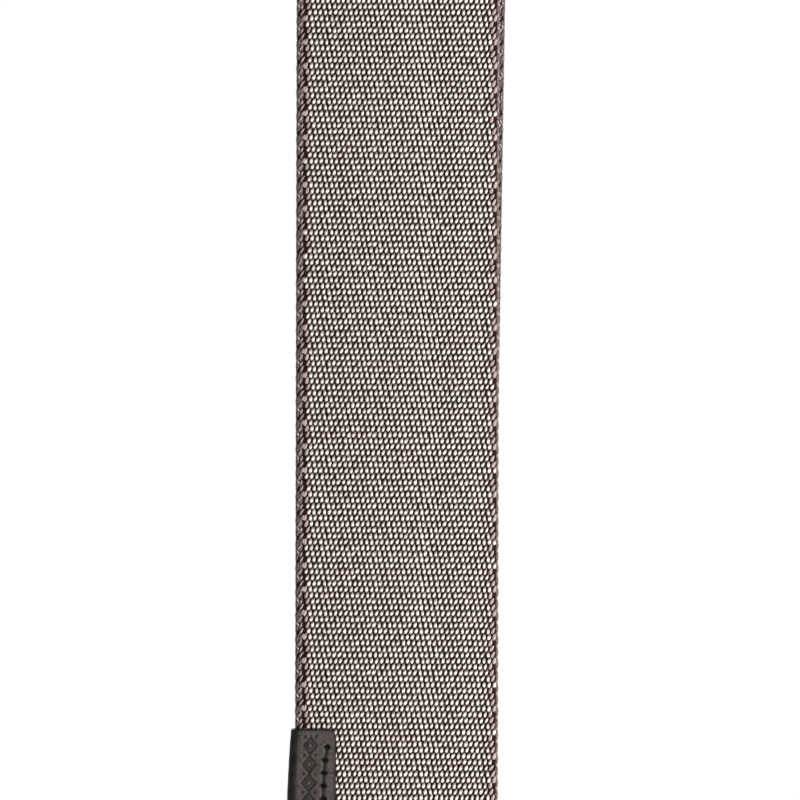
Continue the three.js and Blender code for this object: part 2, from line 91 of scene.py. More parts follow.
# How far below the slider's centre the tail lies flat on the run again, and how far it reaches.
TAIL_CLOSING, TAIL_REACH = 14, 50
TAIL_CLOSED_Z, TAIL_END_Z = SLIDER_Z - TAIL_CLOSING, SLIDER_Z - TAIL_REACH
TAIL_SPLIT_Z = tail_low[2]
# How far below the ring's lower bar the two sides of the loop lie together.
LOOP_CLOSING = 16
# The turn keeps its shape up to this far above the ring's upper bar, when the strap is adjusted.
RETURN_STRAIGHT_Z = -248
RETURN_SHIFT = (tail_low[0] + tail_high[0]) / 2

FRONT_TAB_TOP = node_box("front_tab_outer")[1][2]
REAR_TAB_TOP = node_box("rear_tab_outer")[1][2]
TAB_OVERLAP = 32
BACK_END_Z = FRONT_TAB_TOP - TAB_OVERLAP

# ---------- weave, in millimetres ----------

# One crown is a yarn showing between two picks. Each lower row starts a quarter column further on.
COLUMN = 1.27
ROW = 1.476
ROWS_IN_REPEAT = 4
HALF_COLUMNS, FIRST_COLUMN = 22, 0.1
CROWN_LENGTH, CROWN_WIDTH, CROWN_HEIGHT = 1.86, 0.84, 0.36
CROWN_SLANT = math.radians(19)
SELVEDGE, CLOSE_EDGE = 2.3, 0.55
SELVEDGE_OVERLAP = 0.15
# Most of the woven crowns that stand this close to either edge's braid take its paler yarn's duller
# cells, as painted shade near the edges.
EDGE_SHADE_BY_SELVEDGE, EDGE_SHADE_BY_CLOSE_EDGE, EDGE_SHADE_SHARE = 0.75, 1.2, 0.75
# Fine crowns start this far below the fold, above all that the camera sees.
FINE_START = 100
# How many points go round a crown, and where its rings of points lie, as shares of its outline.
FINE_FACETS, PLAIN_FACETS, EDGE_FACETS = (10, (1, 0.86, 0.5)), (6, (1, 0.62)), (8, (1, 0.8))

# How much crowns differ: slants in radians, places in millimetres, sizes as shares.
SLANT_SPREAD, LENGTH_SPREAD, WIDTH_SPREAD, HEIGHT_SPREAD = 0.05, 0.04, 0.03, 0.08
PLACE_SPREAD = 0.03
EDGE_SLANT_SPREAD, EDGE_WIDTH_SPREAD, EDGE_ALONG_SPREAD = 0.07, 0.06, 0.05
COLUMN_SLANT_SPREAD, COLUMN_WIDTH_SPREAD = math.radians(9), 0.07

# A warp yarn keeps its own slant and width along the whole strap. These are the first draws.
EACH_YARN = (2 * HALF_COLUMNS + 1, ROWS_IN_REPEAT)
SLANTS = random.normal(0, COLUMN_SLANT_SPREAD, EACH_YARN)
WIDTHS = random.normal(1, COLUMN_WIDTH_SPREAD, EACH_YARN)

# The ground stands this far under the webbing's face, in sections this far apart.
GROUND_SINK, GROUND_STEP = 0.04, 2.5

# The crowns' material has one square cell for each way a crown may look: the lowest row of cells
# is the selvedge's dull yarn, the next one its paler yarn, and the rest are the woven crowns.
CELLS = 8
DULL_CELL_ROW, PALE_CELL_ROW = 0, 1
EDGE_CELL_ROWS = 2


# ---------- routes: the webbing's middle line in the YZ plane ----------


def unit(vectors):
    return vectors / np.linalg.norm(vectors, axis=-1, keepdims=True)


def lengths_along(points):
    """How far along a line each of its points is."""
    steps = np.linalg.norm(np.diff(points, axis=0), axis=1)
    return np.concatenate([[0], np.cumsum(steps)])


def eased(share):
    """From 0 to 1, level at both ends."""
    return share * share * (3 - 2 * share)


def arc(across, up, radius, start, end, steps):
    """Points of a circle in a plane: 0 degrees is across and 90 degrees is up."""
    angles = np.radians(np.linspace(start, end, steps + 1))
    return np.stack([across + radius * np.cos(angles), up + radius * np.sin(angles)], axis=1)


def line(start, end, steps):
    return np.linspace(start, end, steps + 1)


def soft_step(start, end, steps):
    """A line that leaves its start and reaches its end straight up or down."""
    share = np.linspace(0, 1, steps + 1)
    across = start[0] + (end[0] - start[0]) * eased(share)
    return np.stack([across, start[1] + (end[1] - start[1]) * share], axis=1)


def joined(*parts):
    points = np.concatenate(parts)
    keep = np.ones(len(points), bool)
    keep[1:] = np.linalg.norm(np.diff(points, axis=0), axis=1) > 1e-6
    return points[keep]


class Route:
    """A run of webbing: a line in the YZ plane, and how far it is moved sideways at each height."""

    def __init__(self, points, before=0.0, shift=None):
        """before is the length of the same strip that comes before this run."""
        self.points = points
        self.along = lengths_along(points)
        self.length = self.along[-1]
        self.before = before
        self.first_row = int(before / ROW)
        self.lead = before - self.first_row * ROW
        self.shift = shift or (lambda z: np.zeros_like(z))
        self.tangents = unit(np.gradient(points, self.along, axis=0))

    def at(self, s):
        """Centre, tangent and outward normal at lengths s, as rows of X, Y, Z."""
        y = np.interp(s, self.along, self.points[:, 0])
        z = np.interp(s, self.along, self.points[:, 1])
        ty = np.interp(s, self.along, self.tangents[:, 0])
        tz = np.interp(s, self.along, self.tangents[:, 1])
        size = np.hypot(ty, tz)
        ty, tz = ty / size, tz / size
        nothing = np.zeros_like(y)
        centre = np.stack([self.shift(z), y, z], axis=1)
        return centre, np.stack([nothing, ty, tz], 1), np.stack([nothing, tz, -ty], 1)

    def stretch(self, s, face):
        """How much longer a row is on one face than on the middle line, where the run bends."""
        reach = ROW / 2
        ends = []
        for place in (s - reach, s + reach):
            centre, _, normal = self.at(np.clip(place, 0, self.length))
            ends.append(centre + face * HALF * normal)
        middle_length = np.clip(s + reach, 0, self.length) - np.clip(s - reach, 0, self.length)
        return np.linalg.norm(ends[1] - ends[0], axis=1) / middle_length


def sideways(z):
    """The return run stands to the right at the slider and straight below a certain height."""
    span = SLIDER_Z - RETURN_STRAIGHT_Z
    return RETURN_SHIFT * np.clip((z - RETURN_STRAIGHT_Z) / span, 0, 1)


def webbing_routes():
    ply = HALF + GAP / 2
    main = Route(joined(
        line((BACK_Y, BACK_END_Z), (BACK_Y, 0), 60),
        arc(0, 0, FOLD_RADIUS, 0, 180, 48),
        line((FRONT_Y, 0), (FRONT_Y, main_low[2]), 70),
    ))
    lower = Route(
        line((FRONT_Y, main_low[2]), (FRONT_Y, RING_TOP_Z), 40),
        before=main.length,
    )
    steps = 60
    share = np.linspace(0, 1, steps + 1)
    back_y = RING_Y + TURN_RADIUS
    rise = np.stack([
        back_y + (TAIL_FRONT_Y - back_y) * share**2,
        RING_TOP_Z + (TAIL_SPLIT_Z - RING_TOP_Z) * share,
    ], axis=1)
    doubled = Route(joined(
        arc(RING_Y, RING_TOP_Z, TURN_RADIUS, 180, 360, 24),
        rise,
    ), before=lower.before + lower.length, shift=sideways)
    wrap_y = TAIL_FRONT_Y + TAIL_WRAP_RADIUS
    tail = Route(joined(
        line((TAIL_FRONT_Y, TAIL_SPLIT_Z), (TAIL_FRONT_Y, SLIDER_Z), 20),
        arc(wrap_y, SLIDER_Z, TAIL_WRAP_RADIUS, 180, 0, 24),
        soft_step((wrap_y + TAIL_WRAP_RADIUS, SLIDER_Z), (TAIL_BACK_Y, TAIL_CLOSED_Z), 12),
        line((TAIL_BACK_Y, TAIL_CLOSED_Z), (TAIL_BACK_Y, TAIL_END_Z), 12),
    ), before=doubled.before + doubled.length, shift=sideways)
    closed_z = RING_BOTTOM_Z - LOOP_CLOSING
    loop = Route(joined(
        line((RING_Y - ply, loop_low[2]), (RING_Y - ply, closed_z), 12),
        soft_step((RING_Y - ply, closed_z), (RING_Y - TURN_RADIUS, RING_BOTTOM_Z), 12),
        arc(RING_Y, RING_BOTTOM_Z, TURN_RADIUS, 180, 0, 24),
        soft_step((RING_Y + TURN_RADIUS, RING_BOTTOM_Z), (RING_Y + ply, closed_z), 12),
        line((RING_Y + ply, closed_z), (RING_Y + ply, loop_low[2]), 12),
    ))
    return {"main": main, "lower": lower, "doubled": doubled, "tail": tail, "loop": loop}


# ---------- meshes ----------


def make_object(name, vertices_mm, faces, uvs=None):
    """A mesh object from numpy arrays. faces is a list of (n, corners) index arrays."""
    mesh = bpy.data.meshes.new(name)
    vertices = np.asarray(vertices_mm, np.float32) * MM
    corners = [np.asarray(f, np.int32) for f in faces if len(f)]
    loops = np.concatenate([f.ravel() for f in corners])
    sizes = np.concatenate([np.full(len(f), f.shape[1], np.int32) for f in corners])
    starts = np.concatenate([[0], np.cumsum(sizes)[:-1]]).astype(np.int32)
    mesh.vertices.add(len(vertices))
    mesh.vertices.foreach_set("co", vertices.ravel())
    mesh.loops.add(len(loops))
    mesh.loops.foreach_set("vertex_index", loops)
    mesh.polygons.add(len(sizes))
    mesh.polygons.foreach_set("loop_start", starts)
    mesh.polygons.foreach_set("loop_total", sizes)
    mesh.polygons.foreach_set("use_smooth", np.ones(len(sizes), bool))
    if uvs is not None:
        layer = mesh.uv_layers.new(name="OFBake")
        layer.data.foreach_set("uv", np.asarray(uvs, np.float32)[loops].ravel())
    mesh.update(calc_edges=True)
    mesh.validate()
    obj = bpy.data.objects.new(name, mesh)
    bpy.context.scene.collection.objects.link(obj)
    return obj


def grid_faces(rows, columns, wrap_rows=False, wrap_columns=False):
    """Quads of a grid whose point (i, j) has index i * columns + j."""
    i = np.arange(rows if wrap_rows else rows - 1)[:, None]
    j = np.arange(columns if wrap_columns else columns - 1)[None, :]
    i2, j2 = (i + 1) % rows, (j + 1) % columns
    quads = [i * columns + j, i * columns + j2, i2 * columns + j2, i2 * columns + j]
    return np.stack(np.broadcast_arrays(*quads), axis=-1).reshape(-1, 4)


# ---------- webbing ----------


def webbing_core(name, route):
    """The ground of the webbing, near-black as painted shade between the crowns: a flat strip with
    round edges, closed at both ends.
    """
    edge = HALF - GROUND_SINK
    right = arc(FLAT_HALF, 0, edge, -90, 90, 8)
    top = line((FLAT_HALF, edge), (-FLAT_HALF, edge), 8)[1:-1]
    section = np.concatenate([right, top, -right, -top])
    count = max(int(route.length / GROUND_STEP), 16)
    centre, _, normal = route.at(np.linspace(0, route.length, count))
    across = np.array([1.0, 0, 0])
    points = (
        centre[:, None, :]
        + section[None, :, :1] * across
        + section[None, :, 1:] * normal[:, None, :]
    )
    size = len(section)
    ends = [np.arange(size)[None, :], np.arange(size)[None, ::-1] + (count - 1) * size]
    faces = [grid_faces(count, size, wrap_columns=True)[:, ::-1], *ends]
    return make_object(name, points.reshape(-1, 3), faces)


def crown_shape(around, rings):
    """One egg-shaped crown: local points (across, along, out), cell coordinates and faces."""
    egg_taper, low_peak, root_height = 0.3, -0.1, -0.25
    angle = np.linspace(0, 2 * np.pi, around, endpoint=False)
    along = 0.5 * np.cos(angle)
    across = 0.5 * np.sin(angle) * (1 - egg_taper * np.cos(angle))
    points = []
    for share in rings:
        height = math.sqrt(1 - share**2) if share < 1 else root_height
        lean = low_peak * (1 - share)
        points.append(np.stack([across * share, along * share + lean, np.full(around, height)], 1))
    points = np.concatenate([*points, [[0, low_peak, 1.0]]])
    quads = grid_faces(len(rings), around, wrap_columns=True)
    last = (len(rings) - 1) * around
    k = np.arange(around)
    tip = np.stack([last + k, last + (k + 1) % around, np.full(around, last + around)], 1)
    faces = quads[:, ::-1], tip[:, ::-1], k[None]
    return points, points[:, :2] + 0.5, faces


class Crowns:
    """Collects crowns for one piece, then makes them one mesh."""

    def __init__(self, route):
        self.route = route
        self.groups = []

    def add(self, s, q, face, slant, length, width, height, cell, facets):
        """Crowns at lengths s and places q across, on the outer (1) or the inner (-1) face.
        q runs past the flat face round the webbing's edge."""
        s, q = np.asarray(s, float), np.asarray(q, float)
        keep = (s > 0) & (s < self.route.length)
        values = [np.broadcast_to(v, s.shape)[keep] for v in (slant, length, width, height)]
        self.groups.append((s[keep], q[keep], face, *values, cell[keep], facets))

    def build(self, name):
        points, uvs, faces, offset = [], [], {}, 0
        for s, q, face, slant, length, width, height, cell, facets in self.groups:
            shape, cell_points, shape_faces = crown_shape(*facets)
            centre, tangent, normal = self.route.at(s)
            length = length * self.route.stretch(s, face)
            turn = np.clip(np.abs(q) - FLAT_HALF, 0, HALF * math.pi / 2) / HALF
            side = np.sign(q)
            x = np.where(turn > 0, side * (FLAT_HALF + HALF * np.sin(turn)), q)
            out = HALF * np.cos(turn)
            across = np.array([[1.0, 0, 0]])
            up = np.cos(turn)[:, None] * normal * face + (side * np.sin(turn))[:, None] * across
            place = centre + x[:, None] * across + (face * out)[:, None] * normal
            v_axis = -tangent
            u_axis = np.cross(v_axis, up)
            c, d = np.cos(slant)[:, None], np.sin(slant)[:, None]
            v_turned = v_axis * c + u_axis * d
            u_turned = u_axis * c - v_axis * d
            world = (
                place[:, None, :]
                + (shape[None, :, 0] * width[:, None])[..., None] * u_turned[:, None, :]
                + (shape[None, :, 1] * length[:, None])[..., None] * v_turned[:, None, :]
                + (shape[None, :, 2] * height[:, None])[..., None] * up[:, None, :]
            )
            cell_origin = np.stack([cell % CELLS, cell // CELLS], 1)
            uv = (cell_origin[:, None, :] + cell_points[None]) / CELLS
            starts = offset + np.arange(len(s))[:, None, None] * len(shape)
            for kind in shape_faces:
                indices = (kind[None] + starts).reshape(-1, kind.shape[1])
                faces.setdefault(kind.shape[1], []).append(indices)
            offset += len(s) * len(shape)
            points.append(world.reshape(-1, 3))
            uvs.append(uv.reshape(-1, 2))
        stacked = [np.concatenate(parts) for parts in faces.values()]
        return make_object(name, np.concatenate(points), stacked, np.concatenate(uvs))


def woven_cell(count):
    return random.integers(EDGE_CELL_ROWS * CELLS, CELLS * CELLS, count)


def edge_cell(cell_row, count):
    return cell_row * CELLS + random.integers(0, CELLS, count)


def weave_face(crowns, route, face, fine=(0, 0)):
    """All crowns of one face. Between the two lengths in fine they get more facets."""
    rows = np.arange(int(route.length / ROW) + 2)
    columns = np.arange(-HALF_COLUMNS, HALF_COLUMNS + 1)
    row, column = [a.ravel() for a in np.meshgrid(rows, columns, indexing="ij")]
    beat = (row + route.first_row) % ROWS_IN_REPEAT
    q = (column + beat / ROWS_IN_REPEAT + FIRST_COLUMN) * COLUMN
    s = (row + 0.5) * ROW - route.lead
    keep = (q > SELVEDGE - SELVEDGE_OVERLAP - WIDTH / 2) & (q < WIDTH / 2 - CLOSE_EDGE)
    column, beat, q, s = column[keep], beat[keep], q[keep], s[keep]
    by_selvedge = q < SELVEDGE + EDGE_SHADE_BY_SELVEDGE - WIDTH / 2
    by_close_edge = q > WIDTH / 2 - CLOSE_EDGE - EDGE_SHADE_BY_CLOSE_EDGE
    count = len(q)
    own_slant = SLANTS[column, beat] + random.normal(0, SLANT_SPREAD, count)
    values = dict(
        slant=CROWN_SLANT + own_slant,
        length=CROWN_LENGTH * random.normal(1, LENGTH_SPREAD, count),
        width=CROWN_WIDTH * WIDTHS[column, beat] * random.normal(1, WIDTH_SPREAD, count),
        height=CROWN_HEIGHT * random.normal(1, HEIGHT_SPREAD, count),
    )
    q = face * (q + random.normal(0, PLACE_SPREAD, count))
    s = s + random.normal(0, PLACE_SPREAD, count)
    # Painted shade: most crowns by either edge take the duller cells of the edge braid's paler
    # yarn.
    shaded_by_edge = (by_selvedge | by_close_edge) & (random.random(count) < EDGE_SHADE_SHARE)
    cell = np.where(shaded_by_edge, edge_cell(PALE_CELL_ROW, count), woven_cell(count))
    is_fine = (s > fine[0]) & (s < fine[1])
    for chosen, facets in ((is_fine, FINE_FACETS), (~is_fine, PLAIN_FACETS)):
        if chosen.any():
            part = {key: value[chosen] for key, value in values.items()}
            crowns.add(s[chosen], q[chosen], face, cell=cell[chosen], facets=facets, **part)
    selvedge(crowns, route, face, -1, SELVEDGE_YARNS)
    selvedge(crowns, route, face, 1, CLOSE_YARNS)


# The selvedge stands on the left of each face. In one repeat of the weave it has, from its edge:
# (row, millimetres from the edge, slant in degrees, length, width, height, row of cells).
SELVEDGE_YARNS = (
    *((row, 0.25, 4, 1.7, 0.8, 0.2, DULL_CELL_ROW) for row in (0.0, 1.0, 2.0, 3.0)),
    *((row + 0.5, 0.95, 14, 1.8, 0.62, 0.18, DULL_CELL_ROW) for row in (0.0, 1.0, 2.0)),
    *((row, 1.75, 22, 1.8, 0.66, 0.2, DULL_CELL_ROW) for row in (0.2, 1.2, 2.2, 3.2)),
    (0.0, 1.1, 4, 1.35, 0.5, 0.3, DULL_CELL_ROW),
    (0.0, 2.35, 10, 1.4, 0.78, 0.32, PALE_CELL_ROW),
    (1.0, 1.6, 33, 1.8, 0.42, 0.34, PALE_CELL_ROW),
    (1.9, 1.0, -28, 1.2, 0.46, 0.34, PALE_CELL_ROW),
    (2.1, 1.85, 24, 1.2, 0.52, 0.34, PALE_CELL_ROW),
    (3.0, 2.0, 34, 1.75, 0.44, 0.32, PALE_CELL_ROW),
    (0.7, 0.15, 12, 1.5, 0.4, 0.26, PALE_CELL_ROW),
    (2.6, 0.15, 0, 1.2, 0.42, 0.24, PALE_CELL_ROW),
)
# On the right of each face only a narrow braid shows, described in the same way.
CLOSE_YARNS = (
    *((row, 0.3, -4, 1.75, 0.66, 0.24, DULL_CELL_ROW) for row in (0.0, 1.0, 2.0, 3.0)),
    *((row + 0.5, 0.75, -8, 1.5, 0.5, 0.18, DULL_CELL_ROW) for row in (0.0, 1.0, 2.0, 3.0)),
    (0.5, 0.05, 6, 1.7, 0.5, 0.3, DULL_CELL_ROW),
    (2.5, 0.05, 0, 1.5, 0.42, 0.26, DULL_CELL_ROW),
    (1.6, 0.5, -22, 1.5, 0.42, 0.36, PALE_CELL_ROW),
    (3.4, 0.45, 16, 1.3, 0.38, 0.32, PALE_CELL_ROW),
)


def selvedge(crowns, route, face, side, yarns):
    """Edge yarns on one face: side is -1 for the face's own left and 1 for its right."""
    repeats = np.arange(int(route.length / ROW / ROWS_IN_REPEAT) + 2)
    start = -(route.first_row % ROWS_IN_REPEAT)
    edge = WIDTH / 2 + HALF * (math.pi / 2 - 1)
    for row, from_edge, slant, length, width, height, cell_row in yarns:
        s = (start + repeats * ROWS_IN_REPEAT + row + 0.5) * ROW - route.lead
        count = len(s)
        q = np.full(count, side * face * (edge - from_edge))
        crowns.add(
            s + random.normal(0, EDGE_ALONG_SPREAD, count),
            q + random.normal(0, PLACE_SPREAD, count),
            face,
            slant=math.radians(slant) + random.normal(0, EDGE_SLANT_SPREAD, count),
            length=length,
            width=width * random.normal(1, EDGE_WIDTH_SPREAD, count),
            height=height,
            cell=edge_cell(cell_row, count),
            facets=EDGE_FACETS,
        )


# ---------- materials ----------

# The leather meshes' own record of how dark each point is: real edge paint and burnished stamping,
# and painted shade in grooves, needle holes, hollows and the tag's fold.
STAIN_AND_SHADE = "stain_and_shade"


class Nodes:
    """Short calls for building one material's nodes."""

    def __init__(self, name):
        self.material = bpy.data.materials.new(name)
        self.material.use_nodes = True
        self.tree = self.material.node_tree
        self.shader = self.tree.nodes["Principled BSDF"]

    def node(self, kind, **settings):
        made = self.tree.nodes.new(kind)
        for key, value in settings.items():
            if hasattr(made, key):
                setattr(made, key, value)
            else:
                self.put(made.inputs[key.replace("_", " ")], value)
        return made

    def put(self, socket, value):
        if isinstance(value, bpy.types.NodeSocket):
            self.tree.links.new(value, socket)
        else:
            socket.default_value = value

    def surface(self, **sockets):
        """Sets the shader's own sockets, named with underscores for spaces."""
        for key, value in sockets.items():
            self.put(self.shader.inputs[key.replace("_", " ")], value)

    def math(self, operation, a, b=0.0):
        made = self.node("ShaderNodeMath", operation=operation)
        self.put(made.inputs[0], a)
        self.put(made.inputs[1], b)
        return made.outputs[0]

    def mix(self, share, a, b):
        made = self.node("ShaderNodeMix", data_type="RGBA", Factor=share, A=a, B=b)
        return made.outputs["Result"]

    def ramp(self, value, *stops):
        made = self.node("ShaderNodeValToRGB", Fac=value)
        elements = made.color_ramp.elements
        while len(elements) < len(stops):
            elements.new(0.5)
        for element, (position, color) in zip(elements, stops, strict=True):
            element.position = position
            element.color = color
        return made.outputs["Color"]

    def value_ramp(self, value, low, high, low_value, high_value):
        """low_value up to low, high_value from high on, and a soft step between them."""
        made = self.node(
            "ShaderNodeMapRange", interpolation_type="SMOOTHSTEP", Value=value,
            From_Min=low, From_Max=high, To_Min=low_value, To_Max=high_value,
        )
        return made.outputs["Result"]

    def noise(self, vector, scale, detail=3.0, roughness=0.55):
        made = self.node(
            "ShaderNodeTexNoise", Vector=vector, Scale=scale, Detail=detail, Roughness=roughness)
        return made.outputs["Fac"]

    def bump(self, height, distance, strength, normal=None):
        made = self.node("ShaderNodeBump", Height=height, Distance=distance, Strength=strength)
        if normal is not None:
            self.put(made.inputs["Normal"], normal)
        return made.outputs["Normal"]

    def place(self):
        return self.node("ShaderNodeTexCoord").outputs["Object"]


def srgb(red, green, blue):
    """A linear colour from 0 to 255 screen values."""
    values = [v / 255 for v in (red, green, blue)]
    return (*[v / 12.92 if v <= 0.04045 else ((v + 0.055) / 1.055) ** 2.4 for v in values], 1.0)


def yarn_material():
    """Pale yarn: each crown has its own cell, with plied strands, painted shade at its ends and
    sides and a painted highlight in its lower half.
    """
    n = Nodes("pale_yarn")
    uv = n.node("ShaderNodeUVMap", uv_map="OFBake").outputs["UV"]
    split = n.node("ShaderNodeSeparateXYZ", Vector=uv)
    column = n.math("MULTIPLY", split.outputs["X"], float(CELLS))
    row = n.math("MULTIPLY", split.outputs["Y"], float(CELLS))
    across = n.math("FRACT", column)
    along = n.math("FRACT", row)
    cell = n.node("ShaderNodeCombineXYZ", X=n.math("FLOOR", column), Y=n.math("FLOOR", row))
    own = n.node("ShaderNodeTexWhiteNoise", noise_dimensions="2D", Vector=cell.outputs["Vector"])
    own_value = own.outputs["Value"]
    strand = n.math("ADD", n.math("MULTIPLY", across, 26.0), n.math("MULTIPLY", along, -9.0))
    strand = n.math("SINE", n.math("ADD", strand, n.math("MULTIPLY", own_value, 6.0)))
    fibre = n.noise(uv, 420.0, 2.0)
    shifted = n.math("ADD", along, n.math("MULTIPLY", n.math("SUBTRACT", own_value, 0.5), 0.12))
    # Painted light along each crown: painted shade at both ends and a painted highlight in its
    # lower half.
    painted_light_along = n.ramp(
        shifted,
        (0.0, srgb(104, 88, 83)), (0.12, srgb(176, 164, 157)), (0.26, srgb(250, 247, 243)),
        (0.46, srgb(246, 241, 236)), (0.64, srgb(176, 164, 157)), (0.86, srgb(104, 88, 83)),
    )
    # Painted shade down each crown's sides.
    from_middle = n.math("ABSOLUTE", n.math("SUBTRACT", across, 0.5))
    painted_side_shade = n.mix(n.value_ramp(from_middle, 0.18, 0.46, 0.0, 0.7), painted_light_along, srgb(84, 66, 61))
    lined = n.mix(n.value_ramp(strand, -1.0, 0.2, 0.22, 0.0), painted_side_shade, srgb(110, 95, 88))
    tinted = n.mix(n.math("MULTIPLY", own_value, 0.22), lined, srgb(132, 112, 105))
    is_edge = n.math("LESS_THAN", row, float(EDGE_CELL_ROWS))
    is_dull = n.math("LESS_THAN", row, float(PALE_CELL_ROW))
    edge_tone = n.mix(is_dull, srgb(194, 176, 169), srgb(116, 101, 98))
    dulled = n.mix(n.value_ramp(strand, -1.0, 0.6, 0.5, 0.0), edge_tone, srgb(70, 57, 54))
    dulled = n.mix(n.math("MULTIPLY", own_value, 0.3), dulled, srgb(84, 70, 67))
    color = n.mix(is_edge, tinted, dulled)
    height = n.math("ADD", n.math("MULTIPLY", strand, 0.35), fibre)
    n.surface(Base_Color=color, Roughness=0.85, Specular_IOR_Level=0.2,
              Normal=n.bump(height, 0.00003, 0.6))
    return n.material


def ground_material():
    """The yarn under the crowns: near-black as painted shade in the gaps between them, mottled at
    random and finely ribbed.
    """
    n = Nodes("ground_painted_shade")
    place = n.place()
    mottle = n.noise(place, 900.0, 3.0)
    ribs = n.noise(place, 2500.0, 2.0)
    # Near-black: painted shade in the gaps between the crowns; the mottle is random tone.
    n.surface(Base_Color=n.mix(mottle, srgb(14, 8, 6), srgb(41, 27, 23)), Roughness=0.95,
              Specular_IOR_Level=0.1, Normal=n.bump(ribs, 0.0001, 0.5))
    return n.material


def leather_material():
    """Black-brown leather: pebbled grain, pores, soft wrinkles, and lighter patches that are partly
    real rubbing and partly painted sheen.
    """
    n = Nodes("leather")
    place = n.place()
    wobble = n.node("ShaderNodeTexNoise", Vector=place, Scale=350.0)
    scaled = n.node("ShaderNodeVectorMath", operation="SCALE", Scale=0.0008)
    n.put(scaled.inputs[0], wobble.outputs["Color"])
    warped = n.node("ShaderNodeVectorMath", operation="ADD")
    n.put(warped.inputs[0], place)
    n.put(warped.inputs[1], scaled.outputs["Vector"])
    pebble = n.node("ShaderNodeTexVoronoi", feature="SMOOTH_F1", Scale=1500.0, Smoothness=0.4,
                    Vector=warped.outputs["Vector"])
    grain = pebble.outputs["Distance"]
    wrinkle = n.noise(place, 160.0, 5.0, 0.6)
    broad = n.noise(place, 28.0, 3.0)
    tone = n.mix(broad, srgb(58, 52, 48), srgb(78, 71, 66))
    creased = n.mix(n.value_ramp(grain, 0.35, 0.75, 0.0, 0.5), tone, srgb(40, 34, 31))
    # Lighter patches: partly real wear, partly a painted sheen.
    wear_and_sheen = n.value_ramp(n.noise(place, 60.0, 6.0, 0.7), 0.55, 0.8, 0.0, 0.5)
    worn_and_sheen = n.mix(wear_and_sheen, creased, srgb(118, 109, 101))
    # Darkest where the mesh records it: real edge paint and burnished stamping, and painted shade
    # in grooves, holes, hollows and the tag's fold.
    stain_and_shade = n.node("ShaderNodeAttribute", attribute_name=STAIN_AND_SHADE).outputs["Fac"]
    fine = n.bump(grain, 0.00012, 0.55)
    n.surface(
        Base_Color=n.mix(stain_and_shade, worn_and_sheen, srgb(9, 6, 5)), Specular_IOR_Level=0.2,
        Roughness=n.value_ramp(wrinkle, 0.3, 0.7, 0.4, 0.58),
        Normal=n.bump(wrinkle, 0.0006, 0.35, fine),
    )
    return n.material


def thread_material():
    """Waxed black sewing thread."""
    n = Nodes("thread")
    fuzz = n.noise(n.place(), 5000.0)
    n.surface(
        Base_Color=n.mix(fuzz, srgb(10, 8, 7), srgb(28, 24, 22)), Specular_IOR_Level=0.25,
        Roughness=n.value_ramp(fuzz, 0.3, 0.7, 0.5, 0.75), Normal=n.bump(fuzz, 0.00008, 0.5),
    )
    return n.material


def metal_material():
    """Satin black plated metal, with fine scratches and brighter rubbed patches."""
    n = Nodes("black_metal")
    place = n.place()
    stretched = n.node("ShaderNodeMapping", Vector=place, Scale=(60.0, 60.0, 1400.0),
                       Rotation=(0.3, 0.5, 0.2))
    scratch = n.noise(stretched.outputs["Vector"], 1.0, 4.0, 0.7)
    cloud = n.noise(place, 90.0, 5.0, 0.65)
    rub = n.value_ramp(cloud, 0.56, 0.74, 0.0, 0.7)
    color = n.mix(rub, srgb(34, 34, 36), srgb(74, 72, 70))
    color = n.mix(n.value_ramp(scratch, 0.62, 0.72, 0.0, 0.25), color, srgb(120, 117, 112))
    ripple = n.bump(n.noise(place, 1800.0, 2.0), 0.00002, 0.5)
    n.surface(Base_Color=color, Metallic=0.9, Normal=n.bump(scratch, 0.00001, 0.6, ripple),
              Roughness=n.value_ramp(cloud, 0.3, 0.7, 0.38, 0.24))
    return n.material


def set_material(obj, material):
    obj.data.materials.clear()
    obj.data.materials.append(material)


# ---------- the webbing's pieces ----------


def build_webbing():
    yarn, ground = yarn_material(), ground_material()
    routes = webbing_routes()
    fold_end = math.pi * FOLD_RADIUS - BACK_END_Z
    plans = {
        "main": (["webbing_main"], "strap_body", None),
        "lower": (["webbing_lower_run"], None, ("strap_body", "doubled_loop")),
        "doubled": (["webbing_turn", "webbing_return"], None, ("doubled_loop", "slider")),
        "tail": (["webbing_tail"], "slider", None),
        "loop": (["rear_loop_webbing"], "rear_end", None),
    }
    fine = {
        "main": (fold_end + FINE_START, routes["main"].length),
        "lower": (0, routes["lower"].length),
    }
    for key, (nodes, body, joined_bodies) in plans.items():
        route = routes[key]
        core = webbing_core(f"webbing_{key}_ground", route)
        crowns = Crowns(route)
        weave_face(crowns, route, 1, fine.get(key, (0, 0)))
        weave_face(crowns, route, -1)
        pale = crowns.build(f"webbing_{key}_yarn")
        set_material(core, ground)
        set_material(pale, yarn)
        for piece in (core, pale):
            if body:
                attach(piece, body)
            else:
                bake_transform(piece)
        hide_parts(*nodes)


# ---------- flat outlines ----------

# At this depth a pressed-in place is fully dark: burnished stamping and painted shade in the
# groove.
FULL_DARKENING_DEPTH = 0.32
EDGE_STAIN, EDGE_STAIN_WIDTH = 0.5, 0.4
# Shares of a flat mesh's spacing: between points round a hole, between the grid's rows, and the
# least gap between the grid and the placed rows of points.
HOLE_SPACING, GRID_ROW, GRID_GAP = 0.7, 0.866, 0.55


def evenly(outline, spacing):
    """Points at even steps round an outline."""
    points = np.concatenate([outline, outline[:1]])
    along = lengths_along(points)
    count = max(int(round(along[-1] / spacing)), 2)
    at = np.linspace(0, along[-1], count + 1)[:-1]
    return np.stack([np.interp(at, along, points[:, 0]), np.interp(at, along, points[:, 1])], 1)


